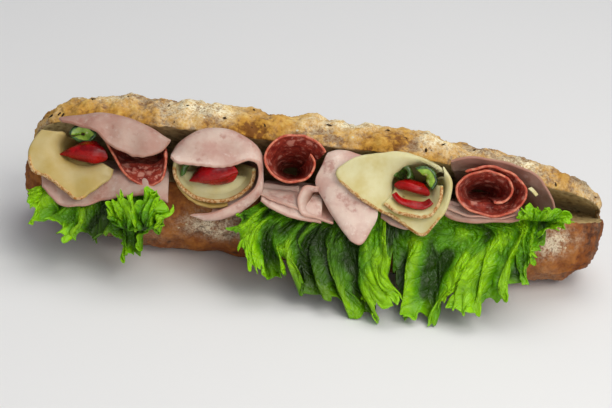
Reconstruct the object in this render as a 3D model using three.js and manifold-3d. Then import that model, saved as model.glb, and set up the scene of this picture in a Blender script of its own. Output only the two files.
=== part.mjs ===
// A filled baguette: the loaf is cut lengthwise, its lid tilts up on the back seam, and rolled slices of
// ham, cheese and salami with vegetables stand in the open mouth, over lettuce that hangs out in front.
// Millimetres, +X along the loaf, +Z up, the mouth opens towards -Y. The origin is the middle of the
// flat spot on which the loaf rests.
import * as THREE from "three";
import { mergeVertices } from "three/addons/utils/BufferGeometryUtils.js";
import Module from "manifold-3d";

const wasm = await Module();
wasm.setup();

const degrees = Math.PI / 180;

// Driving dimensions of the bread
const loafLength = 297;
const cutHalfWidth = 33.5;
const baseDepth = 38.5;
const lidHeight = 21.5;
const loafLean = 18 * degrees; // the loaf lies rolled back, so that its cut faces up and forwards
const seat = { y: -10.2, z: -2.6 }; // brings the flat spot to the origin
const mouthTilt = 27 * degrees; // direction in which the filling points, above the horizontal
const cutDrop = mouthTilt - loafLean; // the base's cut face falls away below that direction
const sliceGap = 0.35; // clear space between neighbours
const aboveTable = 1; // the leaves hang no lower than this
const roomAbove = 1.4; // between a slice and the lid over it
const lidEnds = [-145.5, 147.5];
const lidTapers = { width: [4.2, 3], depth: [3.7, 2.6] };

// Thickness of each kind of food
const hamThickness = 1.5;
const cheeseThickness = 2.2;
const salamiThickness = 1.3;
const lettuceThickness = 0.9;

// Colour, roughness of each kind of food
const colours = {
  base: [0x9c6233, 0.85],
  lid: [0xc58f45, 0.85],
  ham: [0xe2b3ac, 0.45],
  cheese: [0xe9dfa2, 0.4],
  salami: [0x8c2f2c, 0.45],
  lettuce: [0x58a51f, 0.45],
  cucumber: [0x8fb04a, 0.35],
  pepper: [0xc01218, 0.2],
};

const mix = (a, b, t) => a + (b - a) * t;
const clamp = (v, low, high) => Math.min(Math.max(v, low), high);
const smooth = (low, high, v) => {
  const t = clamp((v - low) / (high - low), 0, 1);
  return t * t * (3 - 2 * t);
};

// Places in the loaf's own frame (across the loaf, up from its underside) turned into the part's frame
function fromLoaf(x, across, up) {
  return new THREE.Vector3(
    x,
    seat.y + across * Math.cos(loafLean) + up * Math.sin(loafLean),
    seat.z - across * Math.sin(loafLean) + up * Math.cos(loafLean),
  );
}

// Places in the mouth's frame: x along the loaf, u up and n outwards, counted from the back seam
const seam = fromLoaf(0, cutHalfWidth, baseDepth);
function fromMouth(x, u, n) {
  return new THREE.Vector3(
    x,
    seam.y + u * Math.sin(mouthTilt) - n * Math.cos(mouthTilt),
    seam.z + u * Math.cos(mouthTilt) + n * Math.sin(mouthTilt),
  );
}

// A closed mesh from a list of points and of faces, turned to face outwards
function solidFrom(points, faces) {
  const positions = new Float32Array(points.length * 3);
  points.forEach((p, i) => p.toArray(positions, i * 3));
  const geometry = new THREE.BufferGeometry();
  geometry.setAttribute("position", new THREE.BufferAttribute(positions, 3));
  geometry.setIndex(faces);
  const merged = mergeVertices(geometry, 1e-4);
  const make = (index) =>
    new wasm.Manifold(
      new wasm.Mesh({
        numProp: 3,
        vertProperties: merged.attributes.position.array,
        triVerts: new Uint32Array(index),
      }),
    );
  const index = [...merged.index.array].reduce((kept, _, i, all) => {
    if (i % 3) return kept;
    const [a, b, c] = all.slice(i, i + 3);
    if (a !== b && b !== c && a !== c) kept.push(a, b, c);
    return kept;
  }, []);
  const solid = make(index);
  if (solid.volume() > 0) return solid;
  return make(index.reverse());
}

// The largest piece of a solid, without the scraps that a cut leaves
function largest(solid) {
  return solid.decompose().sort((a, b) => b.volume() - a.volume())[0];
}

// Rises and hollows of a crust, from a few waves that don't repeat
function crustRelief(x, around, waves) {
  return waves.reduce(
    (sum, [height, alongX, about, phase]) =>
      sum + height * Math.sin(x * alongX + about * around + phase),
    0,
  );
}

// How far the loaf tapers at a station: 1 in the middle, 0 at the tips
function taper(station, leftPower, rightPower) {
  const power = station < 0 ? leftPower : rightPower;
  return (1 - Math.abs(station) ** power) ** (1 / power);
}

// A closed skin over rings of points that shrink to one point at both ends
function skinOver(rings, tips) {
  const count = rings[0].length;
  const points = [...rings.flat(), ...tips];
  const faces = [];
  for (let i = 0; i + 1 < rings.length; i++)
    for (let j = 0; j < count; j++) {
      const a = i * count + j;
      const b = i * count + ((j + 1) % count);
      faces.push(a, b, a + count, b, b + count, a + count);
    }
  const [first, last] = [points.length - 2, points.length - 1];
  const end = (rings.length - 1) * count;
  for (let j = 0; j < count; j++) {
    const next = (j + 1) % count;
    faces.push(first, next, j, last, end + j, end + next);
  }
  return solidFrom(points, faces);
}

// One half of the loaf: its crust runs from the back rim round to the front rim, and the cut face closes it
function loafHalf(half) {
  const { stations, crustSteps, cutSteps, ends, reach, power, tapers, waves, crumb, place, grow } = half;
  const rings = [];
  for (let i = 1; i < stations; i++) {
    const station = Math.sin((i / stations - 0.5) * Math.PI);
    const x = mix(ends[0], ends[1], (station + 1) / 2);
    const halfWidth = cutHalfWidth * taper(station, ...tapers.width);
    const width = halfWidth + grow;
    const depth = reach(x) * taper(station, ...tapers.depth) + grow;
    const ring = [];
    for (let j = 0; j <= crustSteps; j++) {
      const angle = (j / crustSteps) * Math.PI;
      const side = Math.sign(Math.cos(angle)) * Math.abs(Math.cos(angle)) ** (2 / power);
      const rise = Math.sin(angle) ** (2 / power);
      const swell = 1 + (crustRelief(x, angle, waves) * Math.min(rise * 2, 1)) / depth;
      ring.push([width * side * mix(1, swell, 0.5), depth * rise * swell]);
    }
    for (let j = 1; j < cutSteps; j++) {
      const across = mix(-width, width, j / cutSteps);
      ring.push([across, -grow + crumb * Math.sin(x * 0.19 + j * 2.1) * Math.sin(x * 0.07 - j)]);
    }
    rings.push(ring.map(([across, rise]) => place(x, across, rise, halfWidth)));
  }
  return skinOver(rings, [place(ends[0] - grow, 0, 0, 0), place(ends[1] + grow, 0, 0, 0)]);
}

// How far the lid stands open along the loaf, which closes towards its right end
function opening(x) {
  const station = (2 * x) / loafLength;
  const closing = station < 0 ? -0.16 * station ** 2 : 0.17 * smooth(0.2, 0.75, station);
  return mix(24, 22.4, (station + 1) / 2) * (1 - closing) * degrees;
}

function placeInBase(x, across, rise) {
  const p = fromLoaf(x, across, baseDepth - rise);
  p.z = Math.max(p.z, 0);
  return p;
}

// The lid turns on its own back edge, which bends in towards the tips
function placeInLid(x, across, rise, halfWidth) {
  const angle = opening(x);
  const fromSeam = halfWidth - across;
  const lift = rise + 0.3;
  return fromLoaf(
    x,
    halfWidth - fromSeam * Math.cos(angle) + lift * Math.sin(angle),
    baseDepth + fromSeam * Math.sin(angle) + lift * Math.cos(angle),
  );
}

const breadBase = (grow) =>
  loafHalf({
    stations: 34,
    crustSteps: 15,
    cutSteps: 4,
    ends: [-loafLength / 2, loafLength / 2],
    reach: (x) => baseDepth + 1.5 * smooth(90, 125, x),
    power: 2.5,
    tapers: { width: [3.8, 4], depth: [3.8, 4.2] },
    waves: [
      [0.55, 0.11, 2, 0.4],
      [0.45, 0.23, -3, 1.7],
      [0.3, 0.37, 5, 0.2],
    ],
    crumb: 0.12,
    place: placeInBase,
    grow,
  });

const breadLid = (grow) =>
  loafHalf({
    stations: 34,
    crustSteps: 13,
    cutSteps: 4,
    ends: lidEnds,
    reach: (x) => lidHeight + 1.2 * Math.cos((x + 112) / 48) - 2.4 * smooth(30, 95, x),
    power: 2.3,
    tapers: lidTapers,
    waves: [
      [0.6, 0.13, 3, 2.2],
      [0.5, 0.21, -2, 0.6],
      [0.4, 0.41, 4, 1.1],
    ],
    crumb: 0.3,
    place: placeInLid,
    grow,
  });

// A smooth line through a few points of the mouth's frame
function line(...points) {
  const curve = new THREE.CatmullRomCurve3(
    points.map((p) => new THREE.Vector3(...p)),
    false,
    "catmullrom",
    0.5,
  );
  return (s) => curve.getPoint(s);
}

// Part of an ellipse round a point of the mouth's frame, in degrees from +x towards +u. It can grow like
// a spiral, and one side of it can stand further out.
function arc({ at, size, turn, grow = 0, power = 1, lean = 0, leanAt = 90 }) {
  return (s) => {
    const angle = mix(turn[0], turn[1], s) * degrees;
    const scale = 1 + grow * s ** power;
    return new THREE.Vector3(
      at[0] + size[0] * scale * Math.cos(angle),
      at[1] + size[1] * scale * Math.sin(angle),
      at[2] + lean * Math.cos(angle - leanAt * degrees),
    );
  };
}

// The surface that passes through lines laid one behind another, from the rim to the back
function throughLines(lines) {
  return (s, t) => {
    const points = lines.map((l) => l(s));
    return new THREE.CatmullRomCurve3(points, false, "catmullrom", 0.5).getPoint(t);
  };
}

// The larger of two numbers, with the corner between them rounded off
const softMax = (a, b, round) => (a + b + Math.hypot(a - b, round)) / 2;

// How far the lid's back edge lies in front of the back seam
function lidEdge(x) {
  const station = clamp(mix(-1, 1, (x - lidEnds[0]) / (lidEnds[1] - lidEnds[0])), -1, 1);
  return cutHalfWidth * (1 - taper(station, ...lidTapers.width));
}

// Keeps a surface between the two cut faces, with room below it for the layers it lies on. Past the rims
// of the bread it can hang down or stand up.
function betweenCuts(p, below, above) {
  const past = Math.max(0, p.z - 70);
  const floor = -Math.tan(cutDrop) * p.z + below - 2.4 * past - 0.6 * past ** 2;
  const edge = lidEdge(p.x);
  const lidFace = Math.tan(opening(p.x) - cutDrop) * (p.z - edge) - Math.tan(cutDrop) * edge;
  const roof = lidFace - above + 2.4 * Math.max(0, p.z - 65);
  p.y = softMax(p.y, floor, 0.8);
  p.y = -softMax(-p.y, -roof, 0.8);
  return p;
}

// A thin solid of even thickness about a surface, its two faces split alike
function slice(surface, { steps, thickness, edge = 0.75 }) {
  const [across, back] = steps;
  const at = (i, j) => {
    const p = surface(clamp(i / across, 0, 1), clamp(j / back, 0, 1));
    const placed = fromMouth(p.x, p.y, p.z);
    placed.z = Math.max(placed.z, aboveTable);
    return placed;
  };
  const front = [];
  const rear = [];
  for (let i = 0; i <= across; i++)
    for (let j = 0; j <= back; j++) {
      const alongS = at(Math.min(i + 0.3, across), j).sub(at(Math.max(i - 0.3, 0), j));
      const alongT = at(i, Math.min(j + 0.3, back)).sub(at(i, Math.max(j - 0.3, 0)));
      const normal = alongS.cross(alongT).normalize();
      const onEdge = i === 0 || i === across || j === 0 || j === back;
      const half = (thickness / 2) * (onEdge ? edge : 1);
      front.push(at(i, j).addScaledVector(normal, half));
      rear.push(at(i, j).addScaledVector(normal, -half));
    }
  const faces = [];
  const count = front.length;
  const row = back + 1;
  for (let i = 0; i < across; i++)
    for (let j = 0; j < back; j++) {
      const [a, b, c, d] = [i * row + j, (i + 1) * row + j, (i + 1) * row + j + 1, i * row + j + 1];
      faces.push(a, b, c, a, c, d);
      faces.push(count + a, count + c, count + b, count + a, count + d, count + c);
    }
  const wall = (a, b) => faces.push(a, count + a, b, b, count + a, count + b);
  for (let i = 0; i < across; i++) {
    wall(i * row, (i + 1) * row);
    wall((i + 1) * row + back, i * row + back);
  }
  for (let j = 0; j < back; j++) {
    wall(j + 1, j);
    wall(across * row + j, across * row + j + 1);
  }
  return solidFrom([...front, ...rear], faces);
}

// The slices, each from its rim in front to its root between the halves of the loaf, in millimetres of the
// mouth's frame. "below" is the room left under a slice for the layers that it lies on.
const slices = {
  salami_middle: {
    food: "salami",
    steps: [24, 4],
    below: 5,
    lines: [
      arc({ at: [-11.8, 6.5, 79], size: [17.2, 14.5], turn: [25, 395], grow: -0.42, lean: -3 }),
      arc({ at: [-12, 3.5, 62], size: [12, 9], turn: [25, 395], grow: -0.4 }),
      arc({ at: [-13, 1.5, 34], size: [5.5, 3.2], turn: [25, 395], grow: -0.35 }),
    ],
  },
  salami_right: {
    food: "salami",
    steps: [30, 4],
    below: 6.4,
    lines: [
      arc({ at: [86, 1.5, 80], size: [18.5, 12.5], turn: [135, -430], grow: -0.56, power: 3 }),
      arc({ at: [86, 1, 62], size: [12, 7], turn: [135, -430], grow: -0.5, power: 3 }),
      arc({ at: [85, 0.5, 34], size: [6, 3], turn: [135, -430], grow: -0.4, power: 3 }),
    ],
  },
  salami_left: {
    food: "salami",
    steps: [16, 5],
    below: 7.6,
    lines: [
      line(
        [-106, 7.5, 76], [-100, -0.7, 77], [-95, -7, 78], [-90, -11.6, 79], [-82, -13.4, 79], [-76, -10, 79],
        [-74.6, -2.2, 78], [-75.7, 3.5, 77],
      ),
      arc({ at: [-89, 3.6, 70], size: [13.5, 8.8], turn: [160, 383] }),
      arc({ at: [-88.5, 2, 58], size: [11, 6.8], turn: [160, 383] }),
      arc({ at: [-87.5, 2, 34], size: [5, 3], turn: [160, 383] }),
    ],
  },
  cheese_left: {
    food: "cheese",
    steps: [14, 4],
    below: 7,
    lines: [
      line(
        [-138, 9, 75], [-141, 4, 77], [-143, -4, 79], [-140, -12, 81], [-131, -15, 83], [-123, -20, 84],
        [-115, -24, 84], [-108, -19, 83], [-104, -15, 80], [-101, -12, 76], [-100, -7, 74],
      ),
      arc({ at: [-116, 2, 75], size: [14.5, 10.5], turn: [140, 320] }),
      arc({ at: [-117, 2, 60], size: [10.5, 7.5], turn: [140, 320] }),
      arc({ at: [-111, 1.5, 36], size: [4.5, 3], turn: [140, 320] }),
    ],
  },
  cheese_middle: {
    food: "cheese",
    steps: [14, 3],
    below: 6.4,
    lines: [
      arc({ at: [-50.5, -2.5, 77], size: [20, 16], turn: [170, 372] }),
      arc({ at: [-50.5, 1, 62], size: [14.5, 7], turn: [170, 372] }),
      arc({ at: [-50, 2.5, 44], size: [7, 3], turn: [170, 372] }),
    ],
  },
  cheese_right_outer: {
    food: "cheese",
    steps: [24, 4],
    below: 5.2,
    lines: [
      line(
        [64, 9, 77], [53, 13, 77], [40, 16, 77], [30, 15, 79], [17, 11, 81], [9, 3, 82], [15, -4, 82],
        [22, -9, 82], [30, -13, 81], [39, -16, 80], [48, -21, 80], [56, -24, 80], [62, -16, 80],
        [66, -10, 79], [67, -2, 79], [66, 5, 79],
      ),
      arc({ at: [50, 0.5, 76], size: [15, 13], turn: [40, 375] }),
      arc({ at: [50, 1.5, 62], size: [12.5, 9.5], turn: [40, 375] }),
      arc({ at: [50, 1, 34], size: [6, 3.5], turn: [40, 375] }),
    ],
  },
  cheese_right_inner: {
    food: "cheese",
    steps: [11, 2],
    below: 8,
    lines: [
      line(
        [34, -10, 82], [41, -13.5, 83], [49, -15, 83], [57, -14.5, 83], [61, -10, 82], [63, -4, 81],
        [63, 2, 79],
      ),
      line([38, -5, 76], [43, -8, 76], [50, -9, 76], [57, -8, 76], [60, -5, 76], [61, 2, 76]),
      line([40, 0, 69], [44, -2.5, 69], [50, -3, 69], [55, -2.5, 69], [58, 0, 69], [59, 3, 69]),
    ],
  },
  pepper_strip: {
    food: "pepper",
    steps: [8, 1],
    thickness: 1.8,
    below: 8,
    lines: [
      line([38, -5, 81], [42, -8.5, 82], [49, -10.5, 82], [55, -10.5, 82], [59, -7.5, 81]),
      line([40, -3.5, 78], [43, -6, 78], [49, -7, 78], [54, -7, 78], [57, -5, 78]),
    ],
  },
  pepper_left: {
    food: "pepper",
    steps: [7, 3],
    thickness: 7.4,
    edge: 0.3,
    below: 9,
    lines: [
      line([-127, -2, 73], [-120, -1, 77], [-111, -0.5, 78], [-104.5, 0, 76]),
      line([-121, 2.6, 68], [-115, 2.6, 68], [-109, 2.6, 68]),
    ],
  },
  pepper_middle: {
    food: "pepper",
    steps: [7, 3],
    thickness: 11,
    edge: 0.3,
    below: 9,
    lines: [
      line([-62, -7.5, 75], [-55, -6, 78], [-47, -4.5, 79], [-40, -0.5, 77]),
      line([-57, 3.5, 67], [-50, 4, 67], [-44, 4, 67]),
    ],
  },
  pepper_right: {
    food: "pepper",
    steps: [6, 2],
    thickness: 4.6,
    edge: 0.35,
    below: 8,
    lines: [
      line([39, -0.2, 75], [45, -0.6, 78], [51, -2, 78], [57, -3, 76]),
      line([44, 2, 70], [49, 1.5, 70], [54, 1, 70]),
    ],
  },
  cucumber_left: {
    food: "cucumber",
    steps: [14, 1],
    thickness: 1.8,
    below: 6,
    lines: [
      arc({ at: [-117.5, 9.2, 73], size: [7, 4.6], turn: [200, -150] }),
      arc({ at: [-117.5, 9, 71.5], size: [1, 0.7], turn: [200, -150] }),
    ],
  },
  cucumber_left_inner: {
    food: "cucumber",
    steps: [5, 2],
    thickness: 2.8,
    below: 6,
    lines: [
      line([-108, 12.5, 68], [-105.5, 9, 70], [-105, 5.5, 71]),
      line([-107, 9, 56], [-105.5, 7, 56], [-105, 5.5, 56]),
    ],
  },
  cucumber_middle: {
    food: "cucumber",
    steps: [6, 2],
    thickness: 2.8,
    below: 8,
    lines: [
      line([-66.5, -7, 76], [-65.5, -2.5, 77], [-61, 1, 77], [-54, 3.5, 76]),
      line([-64, 0, 69], [-62, 4, 69], [-58, 7, 69], [-52, 9, 69]),
    ],
  },
  cucumber_right: {
    food: "cucumber",
    steps: [8, 2],
    thickness: 2.6,
    below: 8,
    lines: [
      arc({ at: [42, 6.5, 75], size: [4, 3.6], turn: [-40, 215] }),
      arc({ at: [46, 4, 64], size: [2.6, 2], turn: [-40, 215] }),
    ],
  },
  cucumber_right_ring: {
    food: "cucumber",
    steps: [11, 2],
    thickness: 1.8,
    below: 8,
    lines: [
      arc({ at: [53, 4, 77.5], size: [7, 7], turn: [132, -45] }),
      arc({ at: [53.5, 4.5, 75], size: [2.6, 3], turn: [132, -45] }),
      arc({ at: [53.5, 5, 66], size: [2, 2], turn: [132, -45] }),
    ],
  },
  ham_wrap: {
    food: "ham",
    steps: [20, 4],
    below: 2.9,
    lines: [
      line(
        [-72.5, 1.5, 81], [-69, -1, 83], [-62, -1, 84], [-55, -1, 85], [-48, -1, 85], [-40, 1, 85],
        [-34, 4, 84], [-29.5, 3, 83], [-28.5, -2, 82], [-31, -10, 81], [-38, -17, 80], [-48, -22, 80],
        [-60, -26, 79],
      ),
      line(
        [-72, 3, 73], [-69, 9, 73], [-64, 14, 74], [-57, 17, 74], [-47, 17.5, 74], [-39, 16, 74],
        [-33, 13, 74], [-28.5, 7, 75], [-27, -2, 76], [-28, -12, 76], [-34, -20, 76], [-42, -23.5, 76],
        [-51, -25, 76],
      ),
      arc({ at: [-50, 3, 58], size: [20, 9], turn: [178, -80] }),
      arc({ at: [-50, 1.5, 34], size: [9, 3.8], turn: [178, -80] }),
    ],
  },
  ham_flap_left: {
    food: "ham",
    steps: [13, 4],
    below: 6,
    lines: [
      line(
        [-128, 14, 77], [-117, 12.5, 80], [-109, 10, 82], [-101, 4, 83], [-94, 1.5, 83], [-87, 0, 83],
        [-81, 2, 82], [-76.5, 5, 79], [-74, 9, 76],
      ),
      line(
        [-130, 16, 73], [-119, 18, 73], [-110, 19, 73], [-100, 18.5, 73], [-91, 17.5, 73], [-82, 14.5, 73],
        [-74, 9.5, 73],
      ),
      line([-124, 15, 65], [-112, 16, 65], [-100, 15.5, 65], [-88, 13.5, 65], [-77, 9, 65]),
      line([-106, 9, 36], [-97, 8.5, 36], [-85, 6.5, 36]),
    ],
  },
  ham_fold: {
    food: "ham",
    steps: [8, 7],
    below: 3,
    lines: [
      line([17, -25, 80], [22, -31, 83], [26, -31, 83], [31, -21, 79]),
      line([7, -14, 78], [14, -20, 82], [24, -22, 82], [32, -13, 78]),
      line([0, -3, 75], [8, -8, 79], [19, -9, 79], [27, -3, 76]),
      line([3, 8, 73], [8, 5, 76], [15, 4, 76], [22, 6, 73]),
      line([5, 12, 69], [9, 13.5, 70], [15, 13.5, 70], [22, 12, 69]),
      line([6, 9, 54], [10, 10, 54], [15, 10, 54], [20, 9, 54]),
      line([8, 4, 34], [11, 5, 34], [14, 5, 34], [17, 4, 34]),
    ],
  },
  ham_arch: {
    food: "ham",
    steps: [13, 3],
    below: 3,
    lines: [
      line(
        [66, 14, 75], [72, 17, 76], [79, 18, 76], [88, 17.5, 76], [98, 16, 76], [105, 14, 75],
        [111, 11, 74], [115, 6, 73], [118, 1, 72], [121, -5, 70],
      ),
      line(
        [67, 11.5, 66], [74, 13, 67], [81, 13, 67], [89, 12, 67], [97, 11, 66], [103, 9, 65],
        [108, 6, 63], [111, 3, 62], [113, 0, 61], [115, -5, 60],
      ),
      arc({ at: [88, 1, 38], size: [16, 6], turn: [150, -20] }),
    ],
  },
  ham_curl: {
    food: "ham",
    steps: [8, 2],
    below: 5,
    lines: [
      arc({ at: [-4, -10.5, 80], size: [5, 5], turn: [110, -130] }),
      arc({ at: [-6, -4.2, 70], size: [4, 2.4], turn: [110, -130] }),
    ],
  },
  ham_under_left: {
    food: "ham",
    steps: [13, 4],
    below: 4.3,
    lines: [
      line(
        [-134, -19, 80], [-129, -24, 81], [-122, -28, 81], [-113, -27, 81], [-104, -23, 80], [-95, -20, 80],
        [-86, -19, 81], [-78, -19.5, 81], [-71.5, -21, 79],
      ),
      line([-135, -7, 69.5], [-110, -7.2, 70], [-90, -7.2, 70], [-73, -7.2, 69.5]),
      line([-118, -12, 46], [-100, -12, 46], [-87, -12, 46], [-76, -12, 46]),
    ],
  },
  ham_under_middle: {
    food: "ham",
    steps: [10, 4],
    below: 3,
    lines: [
      line([-26, -15, 78], [-21, -18, 80], [-13, -20.5, 81], [-4, -22, 81], [5, -22.5, 80]),
      line([-26, -8.2, 69], [-12, -8.3, 69.5], [4, -8.6, 69]),
      line([-25, -12, 46], [-12, -12, 46], [2, -12, 46]),
    ],
  },
  ham_under_fold: {
    food: "ham",
    steps: [6, 4],
    below: 3,
    lines: [
      line([34, -17, 75.5], [40, -20, 77], [47, -21.5, 77.5], [54, -19, 76.5]),
      line([34, -12.5, 70.8], [44, -13, 71], [55, -12.5, 70.8]),
      line([35, -8, 67.5], [44, -8, 67.5], [54, -8, 67.5]),
      line([37, -12, 46], [45, -12, 46], [53, -12, 46]),
    ],
  },
  ham_under_right: {
    food: "ham",
    steps: [10, 4],
    below: 3,
    lines: [
      line([65, -12, 74], [70, -15, 77], [78, -16.5, 79], [88, -15.5, 79], [98, -14.5, 78], [109, -10, 74]),
      line([65, -8.2, 69], [85, -8.3, 69.5], [108, -8.2, 68]),
      line([66, -12, 46], [82, -12, 46], [98, -12, 46]),
    ],
  },
};

// The leaves lie on the base, bend over its front rim and hang down before it. Their first line is the lower
// edge, and they are thrown into folds that deepen towards it: depth, distance and start of the folds.
const leaves = {
  lettuce_left: {
    steps: [28, 7],
    below: 1.1,
    folds: [2.8, 24, 0.6],
    lines: [
      line(
        [-140, -20, 80], [-138, -31, 84], [-134, -37, 85], [-129, -34, 85], [-122, -41, 85], [-113, -42, 85],
        [-105, -43, 85], [-99, -37, 84], [-92, -47, 83], [-84, -46, 83], [-77, -37, 82], [-71, -30, 80],
      ),
      line([-138, -20, 78], [-118, -28, 79], [-97, -30, 78], [-76, -27, 77.5]),
      line([-131, -17, 71], [-108, -19, 71.5], [-86, -18, 71]),
      line([-126, -14, 67], [-108, -14, 67.5], [-90, -14, 67.5]),
      line([-120, -13, 44], [-106, -13, 44], [-92, -13, 44]),
    ],
  },
  lettuce_frill: {
    steps: [18, 6],
    below: 2.5,
    folds: [1.8, 10, 1.2],
    lines: [
      line(
        [-99, -28, 88], [-99, -21, 90], [-94, -15.5, 91], [-86, -13.5, 91], [-78, -14, 90], [-72, -18, 89],
        [-71, -26, 87],
      ),
      line([-98, -31, 88], [-85, -30, 91], [-72, -31, 87]),
      line([-96, -34, 86], [-85, -35.5, 87], [-75, -32, 84]),
      line([-92, -23, 80], [-84, -24, 80.5], [-76, -22, 80]),
      line([-86, -13, 69.5], [-82, -13, 69.5], [-78, -13, 69.5]),
      line([-86, -13, 48], [-83, -13, 48], [-80, -13, 48]),
    ],
  },
  lettuce_middle: {
    steps: [34, 7],
    below: 1.1,
    folds: [3.8, 25, 2.2],
    lines: [
      line(
        [-34, -17, 79], [-38, -26, 83], [-36, -36, 86], [-30, -46, 87], [-22, -50, 87], [-16, -52, 87],
        [-9, -46, 86], [-3, -48, 86], [3, -58, 86], [8, -55, 86], [14, -61, 86], [23, -63, 86], [32, -68, 86],
        [41, -64, 86],
      ),
      line([-33, -20, 79], [-20, -32, 82], [5, -36, 82], [39, -36, 82]),
      line([-28, -17, 73], [-10, -20, 74], [12, -20, 74], [37, -20, 74]),
      line([-24, -14, 67.5], [5, -14, 67.5], [35, -14, 67.5]),
      line([-22, -13, 44], [5, -13, 44], [33, -13, 44]),
    ],
  },
  lettuce_right: {
    steps: [36, 7],
    below: 1.1,
    folds: [3.8, 24, 0.2],
    lines: [
      line(
        [35, -58, 79], [47, -64, 83], [56, -65, 86], [64, -66, 86], [72, -58, 86], [82, -61, 86],
        [89, -53, 87], [97, -49, 87], [106, -43, 86], [112, -32, 84], [114, -20, 80], [120, -13, 77],
        [127, -7, 75],
      ),
      line([36, -36, 76], [70, -36, 82], [95, -30, 81], [109, -20, 77], [121, -8, 71]),
      line([41, -20, 72.5], [75, -20, 74], [98, -17, 73.5], [108, -12.5, 70], [115, -8.5, 67]),
      line([46, -14, 67.5], [82, -14, 67.5], [110, -11, 64]),
      line([47, -13, 44], [74, -13, 44], [100, -13, 44]),
    ],
  },
};

function leafSurface({ lines, folds }) {
  const loft = throughLines(lines);
  const [depth, pitch, start] = folds;
  return (s, t) => {
    const p = loft(s, t);
    const hang = smooth(0.62, 0.15, t);
    const along = (lines[0](s).x / pitch) * 2 * Math.PI + start;
    p.z -= 4 * smooth(0.45, 0, t);
    p.z += depth * hang * (Math.sin(along) + 0.3 * Math.sin(2.6 * along + 1 + 3 * t));
    p.x += 0.25 * depth * hang * Math.sin(2 * along + 0.6);
    p.y += 0.3 * depth * smooth(0.3, 0, t) * Math.sin(2.6 * along + 2.4);
    return p;
  };
}

const root = new THREE.Group();
const clearances = [];

// Cuts a solid clear of everything placed before it, names it and adds it
function add(name, food, solid, clearance) {
  for (const other of clearances) solid = solid.subtract(other);
  const mesh = largest(solid).getMesh();
  const geometry = new THREE.BufferGeometry();
  geometry.setAttribute("position", new THREE.BufferAttribute(mesh.vertProperties, 3));
  geometry.setIndex(new THREE.BufferAttribute(mesh.triVerts, 1));
  geometry.computeVertexNormals();
  const [color, roughness] = colours[food];
  const material = new THREE.MeshStandardMaterial({ color, roughness, metalness: 0 });
  const node = new THREE.Mesh(geometry, material);
  node.name = name;
  root.add(node);
  clearances.push(clearance);
}

add("bread_base", "base", breadBase(0), breadBase(sliceGap));
add("bread_lid", "lid", breadLid(0), breadLid(sliceGap));

const usualThickness = { ham: hamThickness, cheese: cheeseThickness, salami: salamiThickness };
for (const [name, spec] of Object.entries(slices)) {
  const { food, steps, edge } = spec;
  const thickness = spec.thickness ?? usualThickness[food];
  const loft = throughLines(spec.lines);
  const surface = (s, t) => betweenCuts(loft(s, t), spec.below, roomAbove);
  add(
    name,
    food,
    slice(surface, { steps, thickness, edge }),
    slice(surface, { steps, thickness: thickness + 2 * sliceGap, edge: 1 }),
  );
}

for (const [name, leaf] of Object.entries(leaves)) {
  const { steps } = leaf;
  const loft = leafSurface(leaf);
  const surface = (s, t) => betweenCuts(loft(s, t), leaf.below, roomAbove);
  add(
    name,
    "lettuce",
    slice(surface, { steps, thickness: lettuceThickness }),
    slice(surface, { steps, thickness: lettuceThickness + 2 * sliceGap, edge: 1 }),
  );
}

export default root;
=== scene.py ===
# Baguette sandwich: bread, rolled slices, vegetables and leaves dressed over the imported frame
import math

import bpy
import numpy as np
from mathutils import Matrix, Vector


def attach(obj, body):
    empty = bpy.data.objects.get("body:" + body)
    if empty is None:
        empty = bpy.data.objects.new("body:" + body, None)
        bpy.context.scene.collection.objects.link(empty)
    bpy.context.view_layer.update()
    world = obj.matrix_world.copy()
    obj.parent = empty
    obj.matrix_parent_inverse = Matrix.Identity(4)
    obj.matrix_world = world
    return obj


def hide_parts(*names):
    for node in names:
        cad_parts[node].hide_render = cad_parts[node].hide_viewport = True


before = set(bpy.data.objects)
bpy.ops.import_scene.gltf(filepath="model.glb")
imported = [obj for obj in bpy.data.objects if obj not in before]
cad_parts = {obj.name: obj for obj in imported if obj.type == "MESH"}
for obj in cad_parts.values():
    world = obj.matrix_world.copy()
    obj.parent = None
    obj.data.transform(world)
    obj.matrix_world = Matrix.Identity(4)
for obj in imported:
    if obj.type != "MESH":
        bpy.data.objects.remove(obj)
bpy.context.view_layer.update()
mm = 0.001
print("frame loaded:", len(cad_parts), "nodes")

# The bread in millimetres and radians; x runs along it, the mouth opens towards -y
loaf = {
    "length": 297,
    "cutHalfWidth": 33.5,
    "baseDepth": 38.5,
    "lidHeight": 21.5,
    "lidEnds": (-145.5, 147.5),
    "lidWidth": (4.2, 3),
    "lean": math.radians(18),
    "mouthTilt": math.radians(27),
    "seatY": -10.2,
    "seatZ": -2.6,
    "openDegrees": (24, 22.4),
    "closing": (0.16, 0.17),
}
cutDrop = loaf["mouthTilt"] - loaf["lean"]


def mix(a, b, t):
    return a + (b - a) * t


def smooth(low, high, v):
    t = np.clip((v - low) / (high - low), 0, 1)
    return t * t * (3 - 2 * t)


def bump(centre, width, v):
    return np.exp(-(((v - centre) / width) ** 2))


def softMax(a, b, corner):
    return (a + b + np.hypot(a - b, corner)) / 2


# Places across the loaf and up from its underside
def fromLoaf(x, across, up):
    lean = loaf["lean"]
    y = loaf["seatY"] + across * math.cos(lean) + up * math.sin(lean)
    z = loaf["seatZ"] - across * math.sin(lean) + up * math.cos(lean)
    return np.stack(np.broadcast_arrays(x, y, z), -1)


seam = fromLoaf(0, loaf["cutHalfWidth"], loaf["baseDepth"])


# Places in the mouth: x along the loaf, u up and n outwards, counted from the back seam
def fromMouth(p):
    tilt = loaf["mouthTilt"]
    x, u, n = p[..., 0], p[..., 1], p[..., 2]
    y = seam[1] + u * math.sin(tilt) - n * math.cos(tilt)
    z = seam[2] + u * math.cos(tilt) + n * math.sin(tilt)
    return np.stack([x, y, z], -1)


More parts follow.
